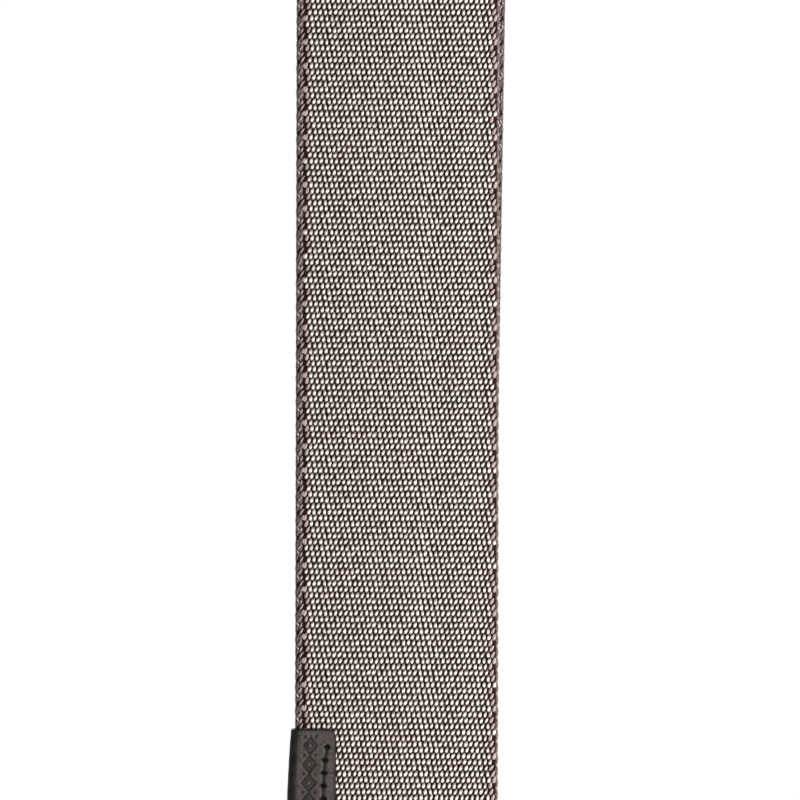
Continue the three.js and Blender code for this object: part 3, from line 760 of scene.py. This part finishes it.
def inset(loop, distance):
    """Moves every side of a counter-clockwise outline inwards."""
    before, after = loop - np.roll(loop, 1, 0), np.roll(loop, -1, 0) - loop
    normals = [unit(np.stack([-side[:, 1], side[:, 0]], 1)) for side in (before, after)]
    scale = distance / (1 + (normals[0] * normals[1]).sum(1))
    return loop + (normals[0] + normals[1]) * scale[:, None]


def rectangle(x_low, x_high, z_low, z_high, radius=0.0, steps=6):
    if not radius:
        return np.array([[x_high, z_high], [x_low, z_high], [x_low, z_low], [x_high, z_low]])
    centres = (
        (x_high - radius, z_high - radius), (x_low + radius, z_high - radius),
        (x_low + radius, z_low + radius), (x_high - radius, z_low + radius),
    )
    return np.concatenate([
        arc(*centre, radius, 90 * turn, 90 * turn + 90, steps)
        for turn, centre in enumerate(centres)
    ])


def distance_to(points, loop, closed=True):
    """How far each point is from an outline, or from a line if it isn't closed."""
    start = loop if closed else loop[:-1]
    end = np.roll(loop, -1, 0) if closed else loop[1:]
    side = end - start
    nearest_distance = np.full(len(points), np.inf)
    for a, b_side in zip(start, side):
        size = (b_side**2).sum()
        share = np.clip(((points - a) * b_side).sum(1) / size, 0, 1)
        gap = points - a - share[:, None] * b_side
        nearest_distance = np.minimum(nearest_distance, np.hypot(gap[:, 0], gap[:, 1]))
    return nearest_distance


def inside(points, loop):
    crossings = np.zeros(len(points), int)
    for a, b in zip(loop, np.roll(loop, -1, 0)):
        if a[1] == b[1]:
            continue
        spans = (a[1] > points[:, 1]) != (b[1] > points[:, 1])
        x = a[0] + (points[:, 1] - a[1]) * (b[0] - a[0]) / (b[1] - a[1])
        crossings += spans & (points[:, 0] < x)
    return crossings % 2 == 1


def flat_mesh(outline, holes, spacing, edge_insets, fine_lines=()):
    """A triangulated outline with rows of points that follow its edges and its seams.
    Returns points, triangles, boundary edges and each point's distance from the nearest edge."""
    loops = [evenly(outline, spacing)]
    loops += [evenly(hole, spacing * HOLE_SPACING) for hole in holes]
    rows = list(loops)
    for depth in edge_insets:
        rows.append(inset(loops[0], depth))
        rows += [inset(loop, -depth) for loop in loops[1:]]
    rows += list(fine_lines)
    placed = np.concatenate(rows)
    low, high = outline.min(0), outline.max(0)
    x, z = np.meshgrid(
        np.arange(low[0], high[0], spacing), np.arange(low[1], high[1], spacing * GRID_ROW))
    x = x + (np.arange(len(x)) % 2)[:, None] * spacing / 2
    grid = np.stack([x.ravel(), z.ravel()], 1)
    tree = KDTree(len(placed))
    for index, (px, pz) in enumerate(placed):
        tree.insert((px, pz, 0), index)
    tree.balance()
    clear = np.array([tree.find((px, pz, 0))[2] > spacing * GRID_GAP for px, pz in grid])
    points = np.concatenate([placed, grid[clear]])
    edges, start = [], 0
    for loop in loops:
        count = len(loop)
        edges += [(start + k, start + (k + 1) % count) for k in range(count)]
        start += count
    result = delaunay_2d_cdt([Vector(p) for p in points], edges, [], 0, 1e-4)
    points = np.array([tuple(v) for v in result[0]])
    triangles = np.array([f for f in result[2] if len(f) == 3])
    middle = points[triangles].mean(1)
    keep = inside(middle, loops[0])
    for loop in loops[1:]:
        keep &= ~inside(middle, loop)
    triangles = triangles[keep]
    a, b, c = points[triangles].transpose(1, 0, 2)
    turn = np.cross(b - a, c - a)
    triangles[turn < 0] = triangles[turn < 0][:, ::-1]
    used, renumbered = np.unique(triangles, return_inverse=True)
    triangles = renumbered.reshape(-1, 3)
    points = points[used]
    sides = np.concatenate([triangles[:, [0, 1]], triangles[:, [1, 2]], triangles[:, [2, 0]]])
    keys = np.sort(sides, 1) @ np.array([len(points), 1])
    _, first, counts = np.unique(keys, return_index=True, return_counts=True)
    rim = sides[first[counts == 1]]
    depth = np.min([distance_to(points, loop) for loop in loops], axis=0)
    return points, triangles, rim, depth


def slab(name, flat, thickness, rounding, place, front, turned=False, extra_stain_and_shade=0.0):
    """A sheet with thickness and round edges, from a flat mesh. place(x, z, out) puts a point in
    space; front is how far the front face stands above its plain height. Pressed-in places are
    darkened as burnished stamping and painted shade, the rim as real edge paint, and the last
    argument darkens it more with stain and painted shade."""
    points, triangles, rim, depth = flat
    short = np.clip(rounding - depth, 0, rounding)
    height = thickness / 2 - rounding + np.sqrt(rounding**2 - short**2)
    x, z = points.T
    front_points = place(x, z, height + front)
    back_points = place(x, z, -height)
    count = len(points)
    walls = np.stack([rim[:, 1], rim[:, 0], rim[:, 0] + count, rim[:, 1] + count], 1)
    faces = [np.concatenate([triangles, triangles[:, ::-1] + count]), walls]
    if turned:
        faces = [f[:, ::-1] for f in faces]
    piece = make_object(name, np.concatenate([front_points, back_points]), faces)
    # Darkness: pressed-in places as burnished stamping and painted shade, the rim as real edge
    # paint, and the caller's stain and painted shade.
    by_edge = np.clip(1 - depth / EDGE_STAIN_WIDTH, 0, 1)
    stain_and_shade = np.clip(-front / FULL_DARKENING_DEPTH, 0, 1) + EDGE_STAIN * by_edge + extra_stain_and_shade
    values = np.concatenate([np.clip(stain_and_shade, 0, 1), np.zeros(count)])
    record = piece.data.attributes.new(STAIN_AND_SHADE, "FLOAT", "POINT")
    record.data.foreach_set("value", values.astype(np.float32))
    return piece


def bell(distance, width):
    return np.exp(-((distance / width) ** 2))


def groove(distance, width, depth):
    return -depth * bell(distance, width)


def standing(points, y):
    """Flat points, stood up in space at a depth."""
    return np.stack([points[:, 0], np.full(len(points), y), points[:, 1]], 1)


# ---------- stitches ----------

# Each stitch is a two-ply cord: its ridges, as a share of its radius, and their turns. Its radius
# gets smaller towards its ends by a share.
PLY_RIDGE, PLY_TURNS, STITCH_TAPER = 0.14, 2.5, 0.25


def stitches(name, holes, outward, radius, sunk, proud, closed=True):
    """Separate stitches, each from one needle hole to the next: its ends sink into the holes."""
    steps, sides = 12, 8
    start = holes if closed else holes[:-1]
    end = np.roll(holes, -1, 0) if closed else holes[1:]
    start_out = outward if closed else outward[:-1]
    end_out = np.roll(outward, -1, 0) if closed else outward[1:]
    share = np.linspace(0, 1, steps + 1)[None, :, None]
    bow = np.abs(2 * share - 1)
    out = start_out[:, None] * (1 - share) + end_out[:, None] * share
    middle = start[:, None] * (1 - share) + end[:, None] * share
    middle = middle + out * (proud - (proud + sunk) * bow**5)
    along = unit(np.gradient(middle, axis=1))
    across = unit(np.cross(along, out))
    upward = np.cross(across, along)
    angle = np.linspace(0, 2 * np.pi, sides, endpoint=False)[None, None, :, None]
    ply = 1 + PLY_RIDGE * np.cos(2 * angle + share[:, :, None] * PLY_TURNS * 2 * np.pi)
    size = radius * (1 - STITCH_TAPER * bow[:, :, None] ** 4) * ply
    points = middle[:, :, None] + size * (
        across[:, :, None] * np.cos(angle) + upward[:, :, None] * np.sin(angle))
    one = grid_faces(steps + 1, sides, wrap_columns=True)
    ends = np.stack([np.arange(sides)[::-1], np.arange(sides) + steps * sides])
    starts = np.arange(len(start))[:, None, None] * (steps + 1) * sides
    quads = (one[None] + starts).reshape(-1, 4)
    caps = (ends[None] + starts).reshape(-1, sides)
    return make_object(name, points.reshape(-1, 3), [quads, caps])


def finish_piece(piece, slot, material, body, *nodes):
    """What every piece that replaces CAD nodes needs."""
    set_material(piece, material)
    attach(piece, body)
    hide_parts(*nodes)


# ---------- leather ends ----------

TAB_LENGTH, TAB_HALF = 118, 27
TAB_CORNER, TAB_TIP, TAB_TAPER = 8, 17, 58
LEATHER = 2.1
TAB_CLOSING, TAB_LAYER_GAP, TAB_PLY_GAP = 12, 0.2, 0.15
TAB_HOLE, TAB_HOLE_FROM_TIP, TAB_SLIT, TAB_SLIT_WIDTH = 4.5, 20, 13, 1.4
EDGE_SEAM, CREASE = 3.8, 1.9
BOX_HALF, BOX_TOP, BOX_BOTTOM = 16, 8, 26
STITCH = 4.5
THREAD, THREAD_SUNK, THREAD_PROUD = 0.36, 0.75, 0.05
TAB_ROUNDING = 0.8
# Widths and depths of what is pressed in.
SEAM_GROOVE, HOLE_GROOVE, CREASE_GROOVE = (0.5, 0.22), (0.5, 0.4), (0.25, 0.2)
# The leather's waves: how many in a millimetre, and how high.
BROAD_WAVES, SMALL_WAVES = (0.07, 0.12), (0.3, 0.04)
# The flat mesh: its spacing, rows of points inside its edges, and rows beside a seam or crease.
TAB_SPACING, TAB_EDGE_ROWS = 1.0, (0.1, 0.3, 0.6, 0.9)
SEAM_ROWS, SEAM_ROW_SPACING = (-0.7, -0.35, 0, 0.35, 0.7), 0.7
CREASE_ROWS, CREASE_ROW_SPACING = (-0.3, 0, 0.3), 0.8


def tab_outline():
    """The leather end's outline below its top edge at height 0."""
    tip_centre = TAB_LENGTH - TAB_TIP
    taper = soft_step((TAB_HALF, -TAB_TAPER), (TAB_TIP, -tip_centre), 12)[:-1]
    corner = TAB_HALF - TAB_CORNER
    return np.concatenate([
        arc(corner, -TAB_CORNER, TAB_CORNER, 0, 90, 8),
        arc(-corner, -TAB_CORNER, TAB_CORNER, 90, 180, 8),
        taper * (-1, 1),
        arc(0, -tip_centre, TAB_TIP, 180, 360, 28),
        taper[::-1],
    ])


def keyhole():
    """The strap button's hole with its slit above."""
    z = TAB_HOLE_FROM_TIP - TAB_LENGTH
    half = TAB_SLIT_WIDTH / 2
    opening = math.degrees(math.asin(half / TAB_HOLE))
    slit_end = z + TAB_SLIT - half
    return np.concatenate([
        arc(0, z, TAB_HOLE, 90 + opening, 450 - opening, 40),
        arc(0, slit_end, half, 0, 180, 8),
    ])


def layer_offset(z, ply_half):
    """How far a layer's inner face stands from the end's middle plane."""
    share = np.clip((-TAB_OVERLAP - z) / TAB_CLOSING, 0, 1)
    open_gap = ply_half + TAB_PLY_GAP
    return open_gap + (TAB_LAYER_GAP / 2 - open_gap) * eased(share)


def build_leather_end(prefix, body, top_z, y, ply_half, outer_side, leather, thread):
    outline = tab_outline()
    box = rectangle(-BOX_HALF, BOX_HALF, -BOX_BOTTOM, -BOX_TOP)
    seam_line, crease_line = inset(outline, EDGE_SEAM), inset(outline, CREASE)
    edge_seam, box_seam = evenly(seam_line, STITCH), evenly(box, STITCH)
    fine_lines = [
        evenly(inset(loop, at + beside), spacing)
        for loop, at, rows, spacing in (
            (outline, EDGE_SEAM, SEAM_ROWS, SEAM_ROW_SPACING),
            (box, 0, SEAM_ROWS, SEAM_ROW_SPACING),
            (outline, CREASE, CREASE_ROWS, CREASE_ROW_SPACING),
        )
        for beside in rows
    ]
    flat = flat_mesh(outline, [keyhole()], TAB_SPACING, TAB_EDGE_ROWS, fine_lines)
    points = flat[0]
    seams = np.minimum(distance_to(points, seam_line), distance_to(points, box))
    holes = np.concatenate([edge_seam, box_seam])
    hole_distance = np.min([np.hypot(*(points - hole).T) for hole in holes], axis=0)
    waves = sum(
        np.array([noise.noise((x * often, z * often, seed)) * high for x, z in points])
        for (often, high), seed in ((BROAD_WAVES, top_z), (SMALL_WAVES, 7))
    )
    relief = (
        groove(seams, *SEAM_GROOVE) + groove(hole_distance, *HOLE_GROOVE)
        + groove(distance_to(points, crease_line), *CREASE_GROOVE) - np.abs(waves)
    )
    for layer, side in (("outer", outer_side), ("inner", -outer_side)):
        def place(x, z, out, side=side):
            middle = layer_offset(z, ply_half) + LEATHER / 2
            return np.stack([x, y + side * (middle + out), top_z + z], 1)

        piece = slab(f"{prefix}_{layer}_leather", flat, LEATHER, TAB_ROUNDING, place, relief,
                     turned=side > 0)
        finish_piece(piece, "leather", leather, body, f"{prefix}_{layer}")
        kind = "needle" if layer == "outer" else "bobbin"
        for seam_name, seam in (("edge", edge_seam), ("box", box_seam)):
            x, z = seam.T
            surface = place(x, z, np.full(len(x), LEATHER / 2))
            outward = np.tile([0.0, side, 0.0], (len(x), 1))
            sewn = stitches(f"{prefix}_{seam_name}_{kind}_stitches", surface, outward,
                            THREAD, THREAD_SUNK, THREAD_PROUD)
            finish_piece(sewn, "thread", thread, body, f"{prefix}_{seam_name}_{kind}_thread")


# ---------- tag ----------

TAG_LEATHER, TAG_GAP, TAG_BULGE = 1.0, 0.2, 1.0
TAG_FREE_X = tag_high[0]
TAG_LENGTH = tag_high[2] - tag_low[2]
TAG_RADIUS = HALF + TAG_GAP + TAG_LEATHER / 2
TAG_FOLD = TAG_RADIUS * math.pi / 2
TAG_FLAT = TAG_FREE_X + WIDTH / 2 - HALF
TAG_STITCH = 3.2
TAG_SEAM_TOP = 4.4
TAG_SEAM_INSET, TAG_SEAM_DRIFT, TAG_SEAM_BOTTOM = 2.1, 0.8, 3
TAG_CORNER, TAG_ROUNDING = 2.0, 0.38
TAG_SPACING, TAG_EDGE_ROWS = 0.3, (0.07, 0.2, TAG_ROUNDING)
TAG_THREAD, TAG_THREAD_SUNK, TAG_THREAD_DEPTH = 0.17, 0.4, 0.3
# Widths and depths of the groove under the thread, the cut across at the third stitch and the
# crease beside the fold.
TAG_SEAM_GROOVE, TAG_CUT, TAG_CREASE = (0.26, 0.36), (0.16, 0.2), (0.35, 0.07)
TAG_CUT_RISE, TAG_CREASE_PLACE = 0.25, TAG_FOLD * 0.85
# The needle holes are lozenges: half their width and height, and their depth.
TAG_HOLE_HALVES, TAG_HOLE_DEPTH = (0.98, 0.92), 0.8
# Between two holes the leather puckers up beside the seam: how far off, how wide and how high.
PUCKER_PLACE, PUCKER_WIDTH, PUCKER_HEIGHT = 0.85, 0.5, 0.14
# Nothing is pressed deeper than this.
TAG_DEEPEST = 0.8 * TAG_LEATHER
# The leather's waves: how many in a millimetre along each side, and how high.
TAG_WAVES, TAG_WAVE_HEIGHT = (0.5, 0.35), 0.07
# How dark the fold's painted shade and the rim's edge paint are, and how far each reaches.
FOLD_SHADE, FOLD_SHADE_REACH = 0.95, 0.95 * TAG_FOLD
RIM_STAIN, RIM_STAIN_REACH = 0.9, 0.45
# The ornament: half a lozenge's width and height, the chain's pitch and middle, and the grooves.
# The inner lozenge and the raised pad have a share of the outer one's size.
LOZENGE_HALF_WIDTH, LOZENGE_HALF_HEIGHT, LOZENGE_PITCH, LOZENGES = 1.55, 2.05, 4.6, 9
LOZENGE_MIDDLE = TAG_FOLD + 2.75
LOZENGE_GROOVE = (0.26, 0.36)
INNER_LOZENGE, INNER_GROOVE = 0.48, (0.26 * 0.8, 0.3)
PAD, PAD_HEIGHT = 0.4, 0.1
DOT_ASIDE, DOT_GROOVE = 1.35, (0.34, 0.4)


def tag_place(s, z, out):
    """From the tag laid flat to its place. s is 0 at the fold's middle and positive in front."""
    slack = TAG_BULGE * np.sin(np.clip(-z / TAG_LENGTH, 0, 1) * math.pi)
    fold_x = HALF - WIDTH / 2 - slack
    over = np.clip(np.abs(s) - TAG_FOLD, 0, None)
    turn = np.clip(s, -TAG_FOLD, TAG_FOLD) / TAG_RADIUS
    radius = TAG_RADIUS + out
    stretch = (TAG_FLAT + slack) / TAG_FLAT
    x = fold_x - radius * np.cos(turn) + over * stretch
    y = FRONT_Y - radius * np.sin(turn)
    return np.stack([x, y, tag_high[2] + z], 1)


def tag_seam(side):
    """The tag's needle holes on the flat tag: the column drifts inwards over its first part."""
    z = -np.arange(TAG_SEAM_TOP, TAG_LENGTH - TAG_SEAM_BOTTOM, TAG_STITCH)
    drift = TAG_SEAM_DRIFT * (1 - np.exp((z + TAG_SEAM_TOP) / TAG_STITCH))
    return np.stack([side * (TAG_FOLD + TAG_FLAT - TAG_SEAM_INSET - drift), z], 1)


def lozenge_chain(s, z):
    """The pressed ornament: a chain of nested lozenges down the front face."""
    first = TAG_LENGTH / 2 - (LOZENGES - 1) / 2 * LOZENGE_PITCH
    index = np.clip(np.round((-z - first) / LOZENGE_PITCH), 0, LOZENGES - 1)
    down = np.abs(-z - first - index * LOZENGE_PITCH)
    aside = np.abs(s - LOZENGE_MIDDLE)
    reach = aside / LOZENGE_HALF_WIDTH + down / LOZENGE_HALF_HEIGHT
    side_distance = LOZENGE_HALF_WIDTH * 0.85
    outer = groove((reach - 1) * side_distance, *LOZENGE_GROOVE)
    inner = groove((reach - INNER_LOZENGE) * side_distance, *INNER_GROOVE)
    pad = PAD_HEIGHT * np.clip(1 - reach / PAD, 0, 1)
    dots = groove(np.hypot(aside - DOT_ASIDE, down - LOZENGE_PITCH / 2), *DOT_GROOVE)
    return outer + inner + pad + dots


def build_tag(leather, thread):
    half = TAG_FOLD + TAG_FLAT
    outline = rectangle(-half, half, -TAG_LENGTH, 0, TAG_CORNER)
    flat = flat_mesh(outline, [], TAG_SPACING, TAG_EDGE_ROWS)
    s, z = flat[0].T
    relief = lozenge_chain(s, z) * (s > TAG_FOLD)
    for side in (-1, 1):
        seam = tag_seam(side)
        line_gap = distance_to(flat[0], seam, closed=False)
        relief += groove(line_gap, *TAG_SEAM_GROOVE)
        pucker = PUCKER_HEIGHT * bell(line_gap - PUCKER_PLACE, PUCKER_WIDTH)
        relief += pucker * np.abs(np.sin((z + TAG_SEAM_TOP) / TAG_STITCH * math.pi))
        for hole in seam:
            reach = (np.abs(flat[0] - hole) / TAG_HOLE_HALVES).sum(1)
            relief -= TAG_HOLE_DEPTH * np.clip(1 - reach, 0, 1) ** 0.4
    third = tag_seam(1)[2]
    cut = np.array([third, third + (half - third[0], TAG_CUT_RISE)])
    relief += groove(distance_to(flat[0], cut, closed=False), *TAG_CUT)
    relief += groove(s - TAG_CREASE_PLACE, *TAG_CREASE)
    waves = [noise.noise((*place, 3)) for place in flat[0] * TAG_WAVES]
    relief = np.maximum(relief + TAG_WAVE_HEIGHT * np.array(waves), -TAG_DEEPEST)
    # Painted shade over the fold, which turns away from the light; the rim is real edge paint.
    fold_painted_shade = FOLD_SHADE * np.exp(-((s / FOLD_SHADE_REACH) ** 6))
    rim_stain = RIM_STAIN * bell(flat[3], RIM_STAIN_REACH)
    piece = slab("tag_leather", flat, TAG_LEATHER, TAG_ROUNDING, tag_place, relief,
                 extra_stain_and_shade=fold_painted_shade + rim_stain)
    finish_piece(piece, "leather", leather, "strap_body", "tag")
    for kind, side in (("needle", 1), ("bobbin", -1)):
        seam = tag_seam(side)
        surface = tag_place(*seam.T, np.full(len(seam), TAG_LEATHER / 2 - TAG_THREAD_DEPTH))
        outward = np.tile([0.0, -float(side), 0.0], (len(seam), 1))
        sewn = stitches(f"tag_{kind}_stitches", surface, outward, TAG_THREAD, TAG_THREAD_SUNK, 0.0,
                        closed=False)
        finish_piece(sewn, "thread", thread, "strap_body", f"tag_{kind}_thread")


# ---------- the sewn tail's lock stitching ----------

# The seam's line runs this far inside its CAD thread's box, and this far off the webbing's face.
TAIL_SEAM_INSET, TAIL_SEAM_OFF = 0.32, 0.2
TAIL_THREAD, TAIL_THREAD_SUNK, TAIL_THREAD_PROUD = 0.3, 0.6, 0.1


def build_tail_stitches(thread):
    low, high = node_box("tail_needle_thread")
    low, high = low + TAIL_SEAM_INSET, high - TAIL_SEAM_INSET
    seam = evenly(rectangle(low[0], high[0], low[2], high[2]), STITCH / 2)
    faces = ("needle", TAIL_FRONT_Y - HALF, -1), ("bobbin", TAIL_BACK_Y + HALF, 1)
    for kind, face_y, side in faces:
        surface = standing(seam, face_y + side * TAIL_SEAM_OFF)
        outward = np.tile([0.0, side, 0.0], (len(seam), 1))
        sewn = stitches(f"tail_{kind}_stitches", surface, outward,
                        TAIL_THREAD, TAIL_THREAD_SUNK, TAIL_THREAD_PROUD)
        finish_piece(sewn, "thread", thread, "slider", f"tail_{kind}_thread")


# ---------- metal ----------

RING_CORNER = 5.0
# The ring's wire is a little thinner than its CAD node, apart from the bead of its weld.
WIRE_SHARE, BEAD_SHARE, BEAD_LENGTH = 0.985, 0.05, 0.9
WIRE_SIDES, WIRE_STEP = 24, 0.8


def soft_copy(node, name, voxel_mm, rounds):
    """A finely remeshed copy of a CAD solid with its edges worn round."""
    copy = bpy.data.objects.new(name, bpy.data.objects[node].data.copy())
    bpy.context.scene.collection.objects.link(copy)
    remesh = copy.modifiers.new("remesh", "REMESH")
    remesh.mode = "VOXEL"
    remesh.voxel_size = voxel_mm * MM
    smooth = copy.modifiers.new("smooth", "SMOOTH")
    smooth.factor, smooth.iterations = 0.5, rounds
    graph = bpy.context.evaluated_depsgraph_get()
    mesh = bpy.data.meshes.new_from_object(copy.evaluated_get(graph))
    copy.modifiers.clear()
    copy.data = mesh
    mesh.name = name
    mesh.polygons.foreach_set("use_smooth", np.ones(len(mesh.polygons), bool))
    return copy


def ring_mesh():
    """The ring's round wire, with a low weld bead on one side."""
    half = (ring_high[0] - ring_low[0]) / 2 - WIRE
    outline = rectangle(-half, half, RING_BOTTOM_Z, RING_TOP_Z, RING_CORNER, 10)
    line_points = evenly(outline, WIRE_STEP)
    forward = unit(np.roll(line_points, -1, 0) - np.roll(line_points, 1, 0))
    across = standing(forward[:, ::-1] * (1, -1), 0)
    weld = np.array([half, (RING_TOP_Z + RING_BOTTOM_Z) / 2])
    bead = bell(np.linalg.norm(line_points - weld, axis=1), BEAD_LENGTH)
    radius = WIRE * (WIRE_SHARE + BEAD_SHARE * bead)[:, None, None]
    angle = np.linspace(0, 2 * np.pi, WIRE_SIDES, endpoint=False)[None, :, None]
    depth = np.array([0.0, 1.0, 0.0])
    points = standing(line_points, RING_Y)[:, None] + radius * (
        across[:, None] * np.cos(angle) + depth * np.sin(angle))
    faces = grid_faces(len(line_points), WIRE_SIDES, wrap_rows=True, wrap_columns=True)
    return make_object("ring_wire", points.reshape(-1, 3), [faces])


def build_metal():
    metal = metal_material()
    slider = soft_copy("slider_frame", "slider_frame_body", voxel_mm=0.4, rounds=4)
    finish_piece(slider, "metal", metal, "slider", "slider_frame")
    finish_piece(ring_mesh(), "metal", metal, "ring", "ring")


# ---------- stage ----------

# The frame's height is the photographed length, and its top stands this far above the tag.
FRAME_HEIGHT, FRAME_ABOVE_TAG = 198.5, 180.9
FRAME_TOP_Z = tag_high[2] + FRAME_ABOVE_TAG
CAMERA_DISTANCE = 1.0
CAMERA_X = 0.7
CAMERA_ROLL = math.radians(-0.12)
AMBIENT = 0.25
FLOOR_Z, FLOOR_RADIUS = -0.76, 3.2
# The floor glows from the first strength to the second between these distances from its middle.
FLOOR_GLOW, GLOW_FROM, GLOW_TO = (0.35, 1.0), 0.3, 0.8 * FLOOR_RADIUS
# Name, place, target and width in metres, power in watts, and height in metres.
LIGHTS = (
    ("key", (0.5, -1.0, 0.25), (0, 0, -0.25), 0.5, 4.2, 0.5),
    ("strip", (0.1, -0.12, -0.31), (0, 0, -0.31), 0.05, 0.62, 0.6),
    ("fill", (0.1, -1.2, -0.6), (0, 0, -0.35), 0.7, 1.3, 0.7),
    ("back_key", (-0.6, 1.1, 0.25), (0, 0, -0.3), 0.6, 18, 0.6),
    ("back_fill", (0.7, 1.0, -0.5), (0, 0, -0.35), 0.9, 8, 0.9),
)


def build_stage():
    scene = bpy.context.scene
    scene.view_settings.view_transform = "Standard"
    scene.view_settings.look = "None"
    world = bpy.data.worlds.new("studio")
    scene.world = world
    world.use_nodes = True
    background = world.node_tree.nodes["Background"]
    background.inputs["Color"].default_value = (1, 1, 1, 1)
    tree = world.node_tree
    seen = tree.nodes.new("ShaderNodeLightPath").outputs["Is Camera Ray"]
    strength = tree.nodes.new("ShaderNodeMapRange")
    strength.inputs["To Min"].default_value = AMBIENT
    strength.inputs["To Max"].default_value = 1.0
    tree.links.new(seen, strength.inputs["Value"])
    tree.links.new(strength.outputs["Result"], background.inputs["Strength"])

    bpy.ops.mesh.primitive_circle_add(
        vertices=160, radius=FLOOR_RADIUS, fill_type="NGON", location=(0, 0, FLOOR_Z))
    floor = bpy.context.object
    floor.name = "floor"
    n = Nodes("floor_paper")
    from_middle = n.node("ShaderNodeVectorMath", operation="LENGTH")
    n.put(from_middle.inputs[0], n.place())
    glow = n.value_ramp(from_middle.outputs["Value"], GLOW_FROM, GLOW_TO, *FLOOR_GLOW)
    n.surface(Base_Color=srgb(238, 238, 238), Roughness=0.9, Emission_Color=(1, 1, 1, 1),
              Emission_Strength=glow)
    set_material(floor, n.material)

    data = bpy.data.cameras.new("camera")
    camera = bpy.data.objects.new("camera", data)
    scene.collection.objects.link(camera)
    face_y = (FRONT_Y - HALF) * MM
    data.sensor_width = 36
    data.lens = data.sensor_width * CAMERA_DISTANCE / (FRAME_HEIGHT * MM)
    data.clip_start, data.clip_end = 0.05, 20
    middle_z = (FRAME_TOP_Z - FRAME_HEIGHT / 2) * MM
    camera.location = (CAMERA_X * MM, face_y - CAMERA_DISTANCE, middle_z)
    camera.rotation_euler = (math.pi / 2, CAMERA_ROLL, 0)
    scene.camera = camera

    for light in LIGHTS:
        area_light(*light)


def area_light(name, place, target, width, power, height):
    data = bpy.data.lights.new(name, "AREA")
    data.energy = power
    data.shape = "RECTANGLE"
    data.size = width
    data.size_y = height
    light = bpy.data.objects.new(name, data)
    light.visible_camera = False
    bpy.context.scene.collection.objects.link(light)
    light.location = place
    toward = Vector(target) - Vector(place)
    light.rotation_euler = toward.to_track_quat("-Z", "Y").to_euler()


build_stage()
build_webbing()
leather, thread = leather_material(), thread_material()
build_leather_end("front_tab", "strap_body", FRONT_TAB_TOP, BACK_Y, HALF, 1, leather, thread)
build_leather_end("rear_tab", "rear_end", REAR_TAB_TOP, RING_Y, THICKNESS + GAP / 2, -1,
                  leather, thread)
build_tag(leather, thread)
build_tail_stitches(thread)
build_metal()
